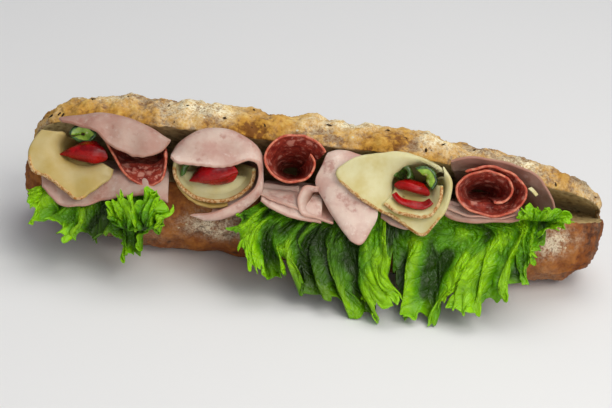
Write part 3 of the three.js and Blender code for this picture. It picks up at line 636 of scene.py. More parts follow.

# Slices, from the rim (first line) to the root between the breads, in millimetres of the mouth.
# The first word of a name is its food; "below" is the room under it, down to the cut face
# The shade number is painted shade on ham and on the left cheese, the own deeper yellow of the layer under
# the middle cheese, and the share of dark skin on cucumbers; deepShade is painted shade that grows behind the
# rim
slices = {
    "salami_middle": {
        "below": 5,
        "lines": [
            arc(at=(-11.8, 6.5, 79), size=(17.2, 14.5), turn=(25, 395), grow=-0.42, lean=-3),
            arc(at=(-12, 3.5, 62), size=(12, 9), turn=(25, 395), grow=-0.4),
            arc(at=(-13, 1.5, 34), size=(5.5, 3.2), turn=(25, 395), grow=-0.35),
        ],
    },
    "salami_right": {
        "below": 6.4,
        "lines": [
            arc(at=(86, 1.5, 80), size=(18.5, 12.5), turn=(135, -430), grow=-0.56, power=3),
            arc(at=(86, 1, 62), size=(12, 7), turn=(135, -430), grow=-0.5, power=3),
            arc(at=(85, 0.5, 34), size=(6, 3), turn=(135, -430), grow=-0.4, power=3),
        ],
    },
    "salami_left": {
        "below": 7.6,
        "lines": [
            (
                (-106, 7.5, 76), (-100, -0.7, 77), (-95, -7, 78), (-90, -11.6, 79), (-82, -13.4, 79),
                (-76, -10, 79), (-74.6, -2.2, 78), (-75.7, 3.5, 77),
            ),
            arc(at=(-89, 3.6, 70), size=(13.5, 8.8), turn=(160, 383)),
            arc(at=(-88.5, 2, 58), size=(11, 6.8), turn=(160, 383)),
            arc(at=(-87.5, 2, 34), size=(5, 3), turn=(160, 383)),
        ],
    },
    "cheese_left": {
        "rind": ((0.22, 0.64, 1.0),),
        "shade": 0.45,
        "below": 7,
        "lines": [
            (
                (-138, 9, 75), (-141, 4, 77), (-143, -4, 79), (-140, -12, 81), (-131, -15, 83),
                (-123, -20, 84), (-115, -24, 84), (-108, -19, 83), (-104, -15, 80), (-101, -12, 76),
                (-100, -7, 74),
            ),
            arc(at=(-116, 2, 75), size=(14.5, 10.5), turn=(140, 320)),
            arc(at=(-117, 2, 60), size=(10.5, 7.5), turn=(140, 320)),
            arc(at=(-111, 1.5, 36), size=(4.5, 3), turn=(140, 320)),
        ],
    },
    "cheese_middle": {
        "rind": ((0.06, 0.97, 1.0),),
        "below": 6.4,
        "lines": [
            arc(at=(-50.5, -2.5, 77), size=(20, 16), turn=(170, 372)),
            arc(at=(-50.5, 1, 62), size=(14.5, 7), turn=(170, 372)),
            arc(at=(-50, 2.5, 44), size=(7, 3), turn=(170, 372)),
        ],
    },
    "cheese_right_outer": {
        "rind": ((0.35, 0.76, 1.0),),
        "below": 5.2,
        "lines": [
            (
                (64, 9, 77), (53, 13, 77), (40, 16, 77), (30, 15, 79), (17, 11, 81), (9, 3, 82),
                (15, -4, 82), (22, -9, 82), (30, -13, 81), (39, -16, 80), (48, -21, 80), (56, -24, 80),
                (62, -16, 80), (66, -10, 79), (67.5, -2, 79), (67, 5, 79), (62, 11.5, 78.5),
            ),
            arc(at=(50, 0.5, 76), size=(15, 13), turn=(40, 388)),
            arc(at=(50, 1.5, 62), size=(12.5, 9.5), turn=(40, 388)),
            arc(at=(50, 1, 34), size=(6, 3.5), turn=(40, 375)),
        ],
    },
    "cheese_right_inner": {
        "rind": ((0.02, 0.98, 0.7),),
        "below": 8,
        "lines": [
            (
                (34, -10, 82), (41, -13.5, 83), (49, -15, 83), (57, -14.5, 83), (61, -10, 82),
                (63, -4, 81), (63, 2, 79),
            ),
            ((38, -5, 76), (43, -8, 76), (50, -9, 76), (57, -8, 76), (60, -5, 76), (61, 2, 76)),
            ((40, 0, 69), (44, -2.5, 69), (50, -3, 69), (55, -2.5, 69), (58, 0, 69), (59, 3, 69)),
        ],
    },
    "pepper_strip": {
        "grid": (50, 20),
        "thickness": 1.8,
        "below": 8,
        "lines": [
            ((38, -5, 81), (42, -8.5, 82), (49, -10.5, 82), (55, -10.5, 82), (59, -7.5, 81)),
            ((40, -3.5, 78), (43, -6, 78), (49, -7, 78), (54, -7, 78), (57, -5, 78)),
        ],
    },
    "pepper_left": {
        "rounding": 3.4,
        "grid": (60, 30),
        "wedge": True,
        "thickness": 8.6,
        "below": 9,
        "lines": [
            ((-128, -2.5, 74), (-120, -2, 78), (-111, -1.5, 79), (-103.5, -1.5, 77)),
            ((-121, 2.6, 68), (-115, 2.6, 68), (-109, 2.6, 68)),
        ],
    },
    "pepper_middle": {
        "rounding": 5,
        "grid": (60, 30),
        "wedge": True,
        "thickness": 12,
        "below": 9,
        "lines": [
            ((-62.5, -9, 76), (-55, -8, 79), (-47, -6, 80), (-38.5, -2, 78)),
            ((-57, 3.5, 67), (-50, 4, 67), (-44, 4, 67)),
        ],
    },
    "pepper_right": {
        "rounding": 2.2,
        "grid": (50, 24),
        "thickness": 4.6,
        "below": 8,
        "lines": [
            ((39, -0.2, 75), (45, -0.6, 78), (51, -2, 78), (57, -3, 76)),
            ((44, 2, 70), (49, 1.5, 70), (54, 1, 70)),
        ],
    },
    "cucumber_left": {
        "rind": ((-0.1, 1.1, 1.3),),
        "thickness": 1.8,
        "below": 6,
        "lines": [
            arc(at=(-117.5, 9.2, 73), size=(7, 4.6), turn=(200, -150)),
            arc(at=(-117.5, 9, 71.5), size=(1, 0.7), turn=(200, -150)),
        ],
    },
    "cucumber_left_inner": {
        "shade": 0.85,
        "thickness": 2.8,
        "below": 6,
        "lines": [
            ((-108, 12.5, 68), (-105.5, 9, 70), (-105, 5.5, 71)),
            ((-107, 9, 56), (-105.5, 7, 56), (-105, 5.5, 56)),
        ],
    },
    "cucumber_middle": {
        "shade": 0.9,
        "thickness": 2.8,
        "below": 8,
        "lines": [
            ((-66.5, -7, 76), (-65.5, -2.5, 77), (-61, 1, 77), (-54, 3.5, 76)),
            ((-64, 0, 69), (-62, 4, 69), (-58, 7, 69), (-52, 9, 69)),
        ],
    },
    "cucumber_right": {
        "shade": 0.9,
        "thickness": 2.6,
        "below": 8,
        "lines": [
            arc(at=(42, 6.5, 75), size=(4, 3.6), turn=(-40, 215)),
            arc(at=(46, 4, 64), size=(2.6, 2), turn=(-40, 215)),
        ],
    },
    "cucumber_right_ring": {
        "rind": ((-0.1, 1.1, 1.2),),
        "thickness": 1.8,
        "below": 8,
        "lines": [
            arc(at=(53, 4, 77.5), size=(7, 7), turn=(132, -45)),
            arc(at=(53.5, 4.5, 75), size=(2.6, 3), turn=(132, -45)),
            arc(at=(53.5, 5, 66), size=(2, 2), turn=(132, -45)),
        ],
    },
    "ham_wrap": {
        "deepShade": 0.2,
        "below": 2.9,
        "lines": [
            (
                (-72.5, 1.5, 81), (-69, -1, 83), (-62, -1, 84), (-55, -1, 85), (-48, -1, 85),
                (-40, 1, 85), (-34, 4, 84), (-29.5, 3, 83), (-28.5, -2, 82), (-31, -10, 81),
                (-38, -17, 80), (-48, -22, 80), (-60, -26, 79),
            ),
            (
                (-72, 3, 73), (-69, 9, 73), (-64, 14, 74), (-57, 17, 74), (-47, 17.5, 74),
                (-39, 16, 74), (-33, 13, 74), (-28.5, 7, 75), (-27, -2, 76), (-28, -12, 76),
                (-34, -20, 76), (-42, -23.5, 76), (-51, -25, 76),
            ),
            arc(at=(-50, 3, 58), size=(20, 9), turn=(178, -80)),
            arc(at=(-50, 1.5, 34), size=(9, 3.8), turn=(178, -80)),
        ],
    },
    "ham_flap_left": {
        "shade": 0.5,
        "below": 6,
        "lines": [
            (
                (-128, 14, 77), (-117, 12.5, 80), (-109, 10, 82), (-101, 4, 83), (-94, 1.5, 83),
                (-87, 0, 83), (-81, 2, 82), (-76.5, 5, 79), (-74, 9, 76),
            ),
            (
                (-130, 16, 73), (-119, 18, 73), (-110, 19, 73), (-100, 18.5, 73), (-91, 17.5, 73),
                (-82, 14.5, 73), (-74, 9.5, 73),
            ),
            ((-124, 15, 65), (-112, 16, 65), (-100, 15.5, 65), (-88, 13.5, 65), (-77, 9, 65)),
            ((-106, 9, 36), (-97, 8.5, 36), (-85, 6.5, 36)),
        ],
    },
    "ham_fold": {
        "below": 3,
        "lines": [
            ((17, -25, 80), (22, -31, 83), (26, -31, 83), (31, -21, 79)),
            ((7, -14, 78), (14, -20, 82), (24, -22, 82), (32, -13, 78)),
            ((0, -3, 75), (8, -8, 79), (19, -9, 79), (27, -3, 76)),
            ((3, 8, 73), (8, 5, 76), (15, 4, 76), (22, 6, 73)),
            ((5, 12, 69), (9, 13.5, 70), (15, 13.5, 70), (22, 12, 69)),
            ((6, 9, 54), (10, 10, 54), (15, 10, 54), (20, 9, 54)),
            ((8, 4, 34), (11, 5, 34), (14, 5, 34), (17, 4, 34)),
        ],
    },
    "ham_arch": {
        "shade": 0.4,
        "below": 3,
        "lines": [
            (
                (66, 14, 75), (72, 17, 76), (79, 18, 76), (88, 17.5, 76), (98, 16, 76), (105, 14, 75),
                (111, 11, 74), (115, 6, 73), (118, 1, 72), (121, -5, 70),
            ),
            (
                (67, 11.5, 66), (74, 13, 67), (81, 13, 67), (89, 12, 67), (97, 11, 66), (103, 9, 65),
                (108, 6, 63), (111, 3, 62), (113, 0, 61), (115, -5, 60),
            ),
            arc(at=(88, 1, 38), size=(16, 6), turn=(150, -20)),
        ],
    },
    "ham_curl": {
        "deepShade": 0.95,
        "below": 5,
        "lines": [
            (
                (1.5, -4, 79), (-5, -4.8, 80), (-7.2, -9, 81), (-7.2, -15, 81), (-4.5, -19.5, 81),
                (2, -20.8, 81), (11, -21.8, 80),
            ),
            (
                (2, -6, 76), (-1.5, -6.5, 76), (-3, -9, 76), (-3, -13, 76), (-1, -16, 76),
                (4, -17.5, 76), (11, -19.5, 76),
            ),
            ((3, -4, 67), (0, -5, 67), (4, -5.4, 67), (11, -5.4, 67)),
        ],
    },
    "ham_under_left": {
        "shade": 0.3,
        "below": 4.3,
        "lines": [
            (
                (-134, -19, 80), (-129, -24, 81), (-122, -28, 81), (-113, -27, 81), (-104, -23, 80),
                (-95, -20, 80), (-86, -19, 81), (-78, -19.5, 81), (-71.5, -21, 79),
            ),
            ((-135, -7, 69.5), (-110, -7.2, 70), (-90, -7.2, 70), (-73, -7.2, 69.5)),
            ((-118, -12, 46), (-100, -12, 46), (-87, -12, 46), (-76, -12, 46)),
        ],
    },
    "ham_under_middle": {
        "below": 3,
        "lines": [
            ((-26, -15, 78), (-21, -18, 80), (-13, -20.5, 81), (-4, -22, 81), (5, -22.5, 80)),
            ((-26, -8.2, 69), (-12, -8.3, 69.5), (4, -8.6, 69)),
            ((-25, -12, 46), (-12, -12, 46), (2, -12, 46)),
        ],
    },
    "ham_under_fold": {
        "below": 3,
        "lines": [
            ((34, -17, 75.5), (40, -20, 77), (47, -21.5, 77.5), (54, -19, 76.5)),
            ((34, -12.5, 70.8), (44, -13, 71), (55, -12.5, 70.8)),
            ((35, -8, 67.5), (44, -8, 67.5), (54, -8, 67.5)),
            ((37, -12, 46), (45, -12, 46), (53, -12, 46)),
        ],
    },
    "ham_under_right": {
        "shade": 0.4,
        "below": 3,
        "lines": [
            (
                (64, -12, 74), (70, -14, 77), (78, -15, 79), (88, -14, 79), (98, -13, 77),
                (106, -9.5, 74),
            ),
            ((65, -8.2, 69), (85, -8.3, 69.5), (108, -8.2, 68)),
            ((66, -12, 46), (82, -12, 46), (98, -12, 46)),
        ],
    },
    # small layers and scraps that aren't solids of their own
    "cheese_middle_under": {
        "extra": True,
        "shade": 0.75,
        "thickness": 1.5,
        "below": 5,
        "lines": [
            arc(at=(-50.5, -3.4, 76), size=(19.4, 17.4), turn=(196, 296)),
            arc(at=(-50.5, -1.5, 68), size=(16, 11), turn=(196, 296)),
        ],
    },
    "ham_right_upper": {
        "extra": True,
        "thickness": 1.1,
        "below": 4.9,
        "lines": [
            ((65, -9.5, 75), (74, -11.2, 78), (84, -11.6, 79), (95, -10.8, 78), (104, -8, 75)),
            ((66, -6.4, 68), (84, -6.4, 68), (102, -6.4, 68)),
        ],
    },
    "ham_middle_upper": {
        "extra": True,
        "thickness": 1.1,
        "below": 4.9,
        "lines": [
            ((-28, -11.5, 77), (-21, -14, 79), (-13, -16.5, 80), (-7, -18, 80)),
            ((-27, -6.4, 68), (-17, -6.4, 68), (-8, -6.4, 68)),
        ],
    },
    "cheese_shred": {
        "extra": True,
        "grid": (30, 12),
        "thickness": 0.9,
        "below": 5,
        "lines": [
            ((104.6, 5.2, 80), (106.5, 3.6, 80.6), (109, 1.6, 80)),
            ((106.4, 6, 78.4), (108.4, 4.4, 79), (110.2, 2.6, 78.4)),
        ],
    },
}

# What the slices of one food share: thickness, height and size of the waves, and ragged rim, in millimetres
foods = {
    "salami": {"thickness": 1.3, "wobble": (0.35, 13), "ragged": 0.3},
    "cheese": {"thickness": 2.2, "wobble": (0.35, 22), "ragged": 0.14},
    "ham": {"thickness": 1.5, "wobble": (0.55, 16), "ragged": 0.18},
    "pepper": {"thickness": 2, "wobble": (0.2, 11), "ragged": 0.15},
    "cucumber": {"thickness": 2.8, "wobble": (0.15, 8), "ragged": 0.2, "grid": (60, 24)},
}


# Parameters from 0 to 1 that lie closer together at both ends
def closeEnds(count, end=0.014):
    fine = np.array([0, 0.12, 0.35, 0.65]) * end
    return np.concatenate([fine, np.linspace(end, 1 - end, count), 1 - fine[::-1]])


def lengthsAlong(p, axis):
    steps = np.linalg.norm(np.diff(p, axis=axis), axis=-1)
    return np.concatenate([np.zeros_like(steps.take([0], axis)), np.cumsum(steps, axis)], axis)


def normalsOf(p):
    normal = np.cross(np.gradient(p, axis=0), np.gradient(p, axis=1))
    return normal / (np.linalg.norm(normal, axis=-1, keepdims=True) + 1e-9)


# A row of points in a table is a smooth line through them
def linesOf(spec):
    return [line if callable(line) else lineThrough(*line) for line in spec["lines"]]


# A thin closed solid about a grid of places, with rounded edges
def sheetPiece(name, p, thickness, rounding, numbers):
    acrossLength, backLength = lengthsAlong(p, 0), lengthsAlong(p, 1)
    side = np.minimum(acrossLength, acrossLength[-1:] - acrossLength)
    edge = np.minimum(side, np.minimum(backLength, backLength[:, -1:] - backLength))
    bulge = np.sqrt(1 - (1 - np.clip(edge / rounding, 0, 1)) ** 2)
    swell = normalsOf(p) * (thickness / 2 * np.maximum(bulge, 0.12))[..., None]
    count = p.shape[0] * p.shape[1]
    grid = np.arange(count).reshape(p.shape[:2])
    a, b, c, d = grid[:-1, :-1], grid[1:, :-1], grid[1:, 1:], grid[:-1, 1:]
    front = np.stack([a, b, c, d], -1).reshape(-1, 4)
    rear = front[:, ::-1] + count
    border = np.concatenate([grid[:-1, 0], grid[-1, :-1], grid[:0:-1, -1], grid[0, :0:-1]])
    after = np.roll(border, -1)
    wall = np.stack([border, border + count, after + count, after], -1)
    points = np.concatenate([(p + swell).reshape(-1, 3), (p - swell).reshape(-1, 3)])
    both = {key: np.tile(np.ravel(values), 2) for key, values in {"rim": backLength, **numbers}.items()}
    return meshPiece(name, points, np.concatenate([front, rear, wall]), both)


def foodSlice(node, spec, food, seed):
    across, back = spec.get("grid", food.get("grid", (150, 46)))
    s, t = closeEnds(across), closeEnds(back, 0.02)
    lines = linesOf(spec)
    rim, root = lines[0](s), lines[-1](s)
    reach = np.linalg.norm(rim - root, axis=-1)
    ragged = waves(rim, 5, seed + 50) * food["ragged"]
    tt = t[None, :] + ((ragged - ragged.min()) / reach)[:, None] * (1 - t[None, :])
    p = fromMouth(betweenCuts(throughLines(lines, s, tt), spec["below"]))
    height, size = food["wobble"]
    p = p + normalsOf(p) * (height * waves(p, size, seed))[..., None]
    fromRim = lengthsAlong(p, 1)
    rind = np.zeros(p.shape[:2])
    for start, end, depth in spec.get("rind", ()):
        along = smooth(start - 0.02, start + 0.02, s) * smooth(end + 0.02, end - 0.02, s)
        uneven = depth * (1 + 0.22 * waves(p, 4, seed + 90))
        rind = np.maximum(rind, along[:, None] * smooth(1.15, 0.8, fromRim / uneven))
    thickness = spec.get("thickness", food["thickness"])
    rounding = spec.get("rounding", thickness * 0.55)
    if spec.get("wedge"):
        thickness = thickness * 1.15 * np.sin(np.pi * mix(0.05, 0.72, s))[:, None]
    shade = np.maximum(spec.get("shade", 0.0), spec.get("deepShade", 0.0) * smooth(1.5, 9, fromRim))
    return sheetPiece(pieceName(node), p, thickness, rounding, {"rind": rind, "shade": shade})


def hamMaterial():
    material, tree, shader, place = newMaterial("ham", 0.42, {
        "Subsurface Weight": 0.12, "Subsurface Scale": 0.003, "Subsurface Radius": (1.0, 0.5, 0.4),
        "Specular IOR Level": 0.4,
    })
    cloud = noiseOf(tree, place, 0.017, 4.0, 0.6, 2.0)
    patch = noiseOf(tree, place, 0.0065, 4.0, 0.65, 4.0)
    pale = noiseOf(tree, place, 0.0045, 5.0, 0.7, 6.0)
    fibre = noiseOf(tree, place, 0.0012, 4.0, 0.7, 8.0)
    tint = overlay(tree, colour(220, 196, 180), (198, 156, 142), cloud, 0.36, 0.62)
    tint = overlay(tree, tint, (170, 108, 96), patch, 0.54, 0.68, 0.6)
    tint = overlay(tree, tint, (232, 216, 204), pale, 0.55, 0.68, 0.6)
    tint = overlay(tree, tint, (180, 126, 104), numberOf(tree, "rim"), 1.5, 0.2, 0.6)
    tint = mixColours(tree, numberOf(tree, "shade"), tint, colour(132, 84, 60))
    height = calc(tree, "MULTIPLY_ADD", fibre, 0.35, pale)
    dress(tree, shader, tint, height, 0.0006, 0.5, remap(tree, fibre, 0.3, 0.7, 0.34, 0.56))
    return material


def cheeseMaterial():
    material, tree, shader, place = newMaterial("cheese", 0.4, {
        "Subsurface Weight": 0.15, "Subsurface Scale": 0.003, "Subsurface Radius": (1.0, 0.8, 0.45),
        "Specular IOR Level": 0.35,
    })
    cloud = noiseOf(tree, place, 0.016, 4.0, 0.55, 1.0)
    fine = noiseOf(tree, place, 0.0022, 4.0, 0.6, 3.0)
    rough = noiseOf(tree, place, 0.0013, 4.0, 0.75, 5.0)
    holeShade = cellsOf(tree, place, 0.013, "F1", 4.0).outputs["Distance"]
    tint = overlay(tree, colour(208, 201, 150), (190, 172, 92), cloud, 0.34, 0.66)
    tint = mixColours(tree, calc(tree, "MULTIPLY", fine, 0.3), tint, colour(226, 220, 184))
    # painted shade: small dark spots stand for little holes in the cheese
    tint = overlay(tree, tint, (110, 92, 52), holeShade, 0.07, 0.04, 0.7)
    tint = mixColours(tree, numberOf(tree, "shade"), tint, colour(166, 124, 32))
    # the rind has a broken border, with smoked cheese next to it
    rind = numberOf(tree, "rind")
    spread = calc(tree, "MULTIPLY", rind, 1.6)
    broken = calc(tree, "MULTIPLY_ADD", calc(tree, "SUBTRACT", rough, 0.5), spread, rind)
    near = overlay(tree, tint, (202, 158, 78), broken, 0.0, 0.5)
    crust = overlay(tree, colour(170, 106, 40), (222, 190, 138), rough, 0.42, 0.58)
    tint = mixColours(tree, remap(tree, broken, 0.4, 0.75), near, crust)
    grain = calc(tree, "MULTIPLY", rough, rind)
    height = calc(tree, "MULTIPLY_ADD", grain, 3.0, calc(tree, "MULTIPLY", fine, 0.35))
    dress(tree, shader, tint, height, 0.0005, 0.6, remap(tree, rind, 0.2, 0.8, 0.4, 0.78))
    return material


# Dark meat with pale fat in it, in three sizes of flecks, bent out of round
salamiFat = (
    # size in metres, full at, gone at, how much, which cells, seed
    (0.0056, 0.24, 0.44, 0.8, (0.4, 0.55), 1.0),
    (0.0032, 0.2, 0.42, 0.7, (0.4, 0.55), 4.0),
    (0.0015, 0.2, 0.4, 0.5, (0.3, 0.5), 6.0),
)


def salamiMaterial():
    material, tree, shader, place = newMaterial("salami", 0.38, {
        "Subsurface Weight": 0.08, "Subsurface Scale": 0.002, "Subsurface Radius": (1.0, 0.35, 0.25),
        "Specular IOR Level": 0.45,
    })
    bend = addNode(tree, "ShaderNodeTexNoise", {"Vector": place, "Scale": 420.0, "Detail": 3.0})
    far = (0.0034, 0.0034, 0.0034)
    shifted = vectorCalc(tree, "MULTIPLY_ADD", {0: bend.outputs["Color"], 1: far, 2: place})
    meat = noiseOf(tree, place, 0.0026, 4.0, 0.6, 2.0)
    tint = overlay(tree, colour(120, 34, 28), (172, 68, 50), meat, 0.32, 0.68)
    for size, inner, outer, strength, chosen, seed in salamiFat:
        cells = cellsOf(tree, shifted, size, "F1", seed)
        some = addNode(tree, "ShaderNodeSeparateColor", {0: cells.outputs["Color"]}).outputs[0]
        fleck = remap(tree, cells.outputs["Distance"], outer, inner)
        fleck = calc(tree, "MULTIPLY", fleck, remap(tree, some, *chosen))
        tint = mixColours(tree, calc(tree, "MULTIPLY", fleck, strength), tint, colour(222, 156, 136))
    rim = calc(tree, "MULTIPLY_ADD", calc(tree, "SUBTRACT", meat, 0.5), 2.0, numberOf(tree, "rim"))
    edge = calc(tree, "MULTIPLY", remap(tree, rim, 1.1, 0.2), 0.8)
    bright = overlay(tree, colour(190, 74, 44), (222, 140, 106), meat, 0.4, 0.62)
    tint = mixColours(tree, edge, tint, bright)
    fine = noiseOf(tree, place, 0.0011, 3.0, 0.6, 9.0)
    height = calc(tree, "MULTIPLY_ADD", fine, 0.5, meat)
    dress(tree, shader, tint, height, 0.0006, 0.55, remap(tree, fine, 0.3, 0.7, 0.28, 0.52))
    return material


def pepperMaterial():
    material, tree, shader, place = newMaterial("pepper", 0.3, {
        "Subsurface Weight": 0.03, "Subsurface Scale": 0.002, "Subsurface Radius": (1.0, 0.15, 0.1),
        "Coat Weight": 0.06, "Coat Roughness": 0.1, "Specular IOR Level": 0.25,
    })
    cloud = noiseOf(tree, place, 0.007, 4.0, 0.6, 2.0)
    bumps = noiseOf(tree, place, 0.0024, 4.0, 0.6, 5.0)
    tint = overlay(tree, colour(170, 3, 10), (112, 2, 6), cloud, 0.38, 0.62)
    tint = overlay(tree, tint, (170, 30, 22), numberOf(tree, "rim"), 0.6, 0.1, 0.5)
    dress(tree, shader, tint, bumps, 0.0005, 0.4, remap(tree, bumps, 0.35, 0.65, 0.2, 0.36))
    return material


# Pale flesh with seeds, a dark skin along the rim, or skin all over where the skin side shows
def cucumberMaterial():
    material, tree, shader, place = newMaterial("cucumber", 0.26, {
        "Subsurface Weight": 0.12, "Subsurface Scale": 0.002, "Subsurface Radius": (0.5, 1.0, 0.3),
        "Coat Weight": 0.12,
    })
    streak = noiseOf(tree, place, 0.0035, 4.0, 0.6, 2.0)
    under = noiseOf(tree, place, 0.0016, 3.0, 0.6, 6.0)
    seed = cellsOf(tree, place, 0.0024, "F1", 3.0).outputs["Distance"]
    inside = remap(tree, numberOf(tree, "rim"), 2.6, 3.6)
    seeded = calc(tree, "MULTIPLY", remap(tree, seed, 0.36, 0.22), inside)
    flesh = overlay(tree, colour(176, 208, 84), (118, 164, 36), streak, 0.35, 0.65)
    flesh = mixColours(tree, calc(tree, "MULTIPLY", seeded, 0.7), flesh, colour(222, 222, 168))
    skin = overlay(tree, colour(20, 42, 16), (58, 98, 34), streak, 0.42, 0.62)
    skin = overlay(tree, skin, (96, 136, 54), under, 0.54, 0.68, 0.5)
    outer = calc(tree, "MAXIMUM", numberOf(tree, "rind"), numberOf(tree, "shade"))
    tint = mixColours(tree, outer, flesh, skin)
    dress(tree, shader, tint, calc(tree, "ADD", streak, under), 0.0004, 0.4)
    return material


materials = {
    "ham": hamMaterial(),
    "cheese": cheeseMaterial(),
    "salami": salamiMaterial(),
    "pepper": pepperMaterial(),
    "cucumber": cucumberMaterial(),
}
for order, (node, spec) in enumerate(slices.items()):
    food = node.split("_")[0]
    standsFor = [] if spec.get("extra") else [node]
    settle(foodSlice(node, spec, foods[food], 11 * order), food, materials[food], *standsFor)
print("slices laid:", len(slices))

# Leaves: they lie on the base, bend over its rim and hang down; the first line is the hem.
# Folds are (depth, pitch, start), ruffles (every, height, where they begin), lobes (every, depth),
# gaps (x, depth, width), and recesses (x, width, inwards, shade), in millimetres.
# A grid has few enough cells to keep the leaf under 200,000 triangles
leaves = {
    "lettuce_left": {
        "grid": (340, 110),
        "ruffles": ((15, 1.9, 0.55), (7, 1.4, 0.27), (3.4, 1, 0.14)),
        "gaps": ((-130.4, 5, 2), (-111, 3, 1.4), (-99.7, 5, 1.6)),
        "longer": 2.4,
        "lobes": ((13, 3.2), (5.2, 1.8), (2.2, 1.1)),
        "recess": ((-104, 10, 2.5, 0.6),),
        "below": 1.1,
        "folds": (2.8, 24, 0.6),
        "lines": [
            (
                (-140, -20, 80), (-138, -31, 84), (-134, -37, 85), (-129, -34, 85), (-122, -41, 85),
                (-113, -42, 85), (-105, -43, 85), (-99, -37, 84), (-92, -47, 83), (-84, -46, 83),
                (-77, -37, 82), (-71, -30, 80),
            ),
            ((-138, -20, 78), (-118, -28, 79), (-97, -30, 78), (-76, -27, 77.5)),
            ((-131, -17, 71), (-108, -19, 71.5), (-86, -18, 71)),
            ((-126, -14, 67), (-108, -14, 67.5), (-90, -14, 67.5)),
            ((-120, -13, 44), (-106, -13, 44), (-92, -13, 44)),
        ],
    },
    "lettuce_frill": {
        "grid": (300, 120),
        "ruffles": ((11, 1.3, 0.9), (5.2, 1, 0.5), (2.4, 0.9, 0.24)),
        "puff": 2.3,
        "gaps": ((-87, 3, 1.6),),
        "lobes": ((9, 3), (4, 1.8), (1.9, 1)),
        "recess": (),
        "below": 2.5,
        "folds": (1.8, 10, 1.2),
        "lines": [
            (
                (-99, -28, 88), (-99, -21, 90), (-94, -15.5, 91), (-86, -13.5, 91), (-78, -14, 90),
                (-72, -18, 89), (-71, -26, 87),
            ),
            ((-98, -31, 88), (-85, -30, 91), (-72, -31, 87)),
            ((-96, -34, 86), (-85, -35.5, 87), (-75, -32, 84)),
            ((-92, -23, 80), (-84, -24, 80.5), (-76, -22, 80)),
            ((-86, -13, 69.5), (-82, -13, 69.5), (-78, -13, 69.5)),
            ((-86, -13, 48), (-83, -13, 48), (-80, -13, 48)),
        ],
    },
    "lettuce_middle": {
        "grid": (420, 116),
        "ruffles": ((17, 2.4, 0.6), (8, 1.6, 0.26), (3.6, 1.1, 0.12)),
        "calm": (-27, 13, 0.75),
        "gaps": ((-4.7, 5, 2.6), (18, 4, 2)),
        "lobes": ((15, 3.4), (6, 2), (2.5, 1.2)),
        "recess": ((8, 15, 3, 0.6), (37, 5, -3, 0.0)),
        "below": 1.1,
        "folds": (3.8, 25, 2.2),
        "lines": [
            (
                (-34, -17, 79), (-38, -26, 83), (-36, -36, 86), (-30, -46, 87), (-22, -50, 87),
                (-16, -52, 87), (-9, -46, 86), (-3, -48, 86), (3, -58, 86), (8, -55, 86), (14, -61, 86),
                (23, -63, 86), (32, -68, 86), (38, -68, 88), (45, -60, 89), (51, -53, 88),
            ),
            ((-33, -20, 79), (-20, -32, 82), (5, -36, 82), (39, -36, 85)),
            ((-28, -17, 73), (-10, -20, 74), (12, -20, 74), (37, -20, 75.5)),
            ((-24, -14, 67.5), (5, -14, 67.5), (35, -14, 67.5)),
            ((-22, -13, 44), (5, -13, 44), (33, -13, 44)),
        ],
    },
    "lettuce_right": {
        "grid": (440, 111),
        "ruffles": ((16, 2.3, 0.6), (7.4, 1.6, 0.26), (3.4, 1.1, 0.12)),
        "gaps": ((71.6, 5, 2), (86.8, 4, 1.8), (104, 3, 1.4)),
        "lobes": ((14, 3), (5.6, 2), (2.3, 1.2)),
        "recess": ((47, 6, 2, 0.25),),
        "below": 1.1,
        "folds": (3.8, 24, 0.2),
        "lines": [
            (
                (30, -57, 78), (45, -63, 83), (56, -65, 86), (64, -66, 86), (72, -58, 86),
                (82, -61, 86), (89, -53, 87), (97, -49, 87), (106, -43, 86), (112, -32, 84),
                (114, -20, 80), (120, -13, 77), (127, -7, 75),
            ),
            ((30, -36, 75), (70, -36, 82), (95, -30, 81), (109, -20, 77), (121, -8, 71)),
            ((29, -20, 71.5), (75, -20, 74), (98, -17, 73.5), (108, -12.5, 70), (115, -8.5, 67)),
            ((36, -14, 67), (82, -14, 67.5), (110, -11, 64)),
            ((38, -13, 44), (74, -13, 44), (100, -13, 44)),
        ],
    },
    "lettuce_tip": {
        "extra": True,
        "grid": (200, 60),
        "ruffles": ((7, 1.1, 0.9), (3.6, 0.9, 0.6), (2, 0.6, 0.4)),
        "puff": 1.2,
        "gaps": (),
        "lobes": ((6, 2), (3, 1.4), (1.5, 0.9)),
        "recess": (),
        "below": 2.2,
        "folds": (0.6, 9, 0.4),
        "lines": [
            (
                (102, -10, 79), (103, -4, 80), (108, -1.6, 81), (114, -2.2, 81), (120, -1.8, 80),
                (126, -3.6, 79), (127, -8, 78),
            ),
            ((104, -10, 77), (112, -9.5, 78), (122, -9, 76)),
            ((105, -10, 71), (112, -10, 71), (118, -9, 70)),
        ],
    },
}


# How far each place is from the border of its cell, in cell widths
def cellBorders(across, back, size, seed):
    jitter = np.random.default_rng(seed).uniform(0.1, 0.9, (64, 64, 2))
    a, b = across / size, back / size
    i, j = np.floor(a).astype(int), np.floor(b).astype(int)
    nearest = np.full(a.shape, 9.0)
    second = nearest.copy()
    for di in (-1, 0, 1):
        for dj in (-1, 0, 1):
            spot = jitter[(i + di) % 64, (j + dj) % 64]
            gap = np.hypot(i + di + spot[..., 0] - a, j + dj + spot[..., 1] - b)
            second = np.minimum(second, np.maximum(nearest, gap))
            nearest = np.minimum(nearest, gap)
    return second - nearest


# Round lobes along the hem with sharp notches between them, in a few sizes, and pointed teeth on them
def hemNotches(along, lobes, seed):
    notches = np.zeros_like(along)
    line = np.stack([along, 0 * along, 0 * along], -1)
    for order, (every, deep) in enumerate(lobes):
        turn = np.pi * along / every + 1.1 * waves(line, every * 3.3, seed + order)
        uneven = np.clip(0.75 + 0.5 * waves(line, every * 2.7, seed + 9 + order), 0.15, 1.6)
        wave = np.abs(np.sin(turn))
        notches += deep * uneven * (wave if every < 3 else 1 - np.sqrt(wave))
    return notches


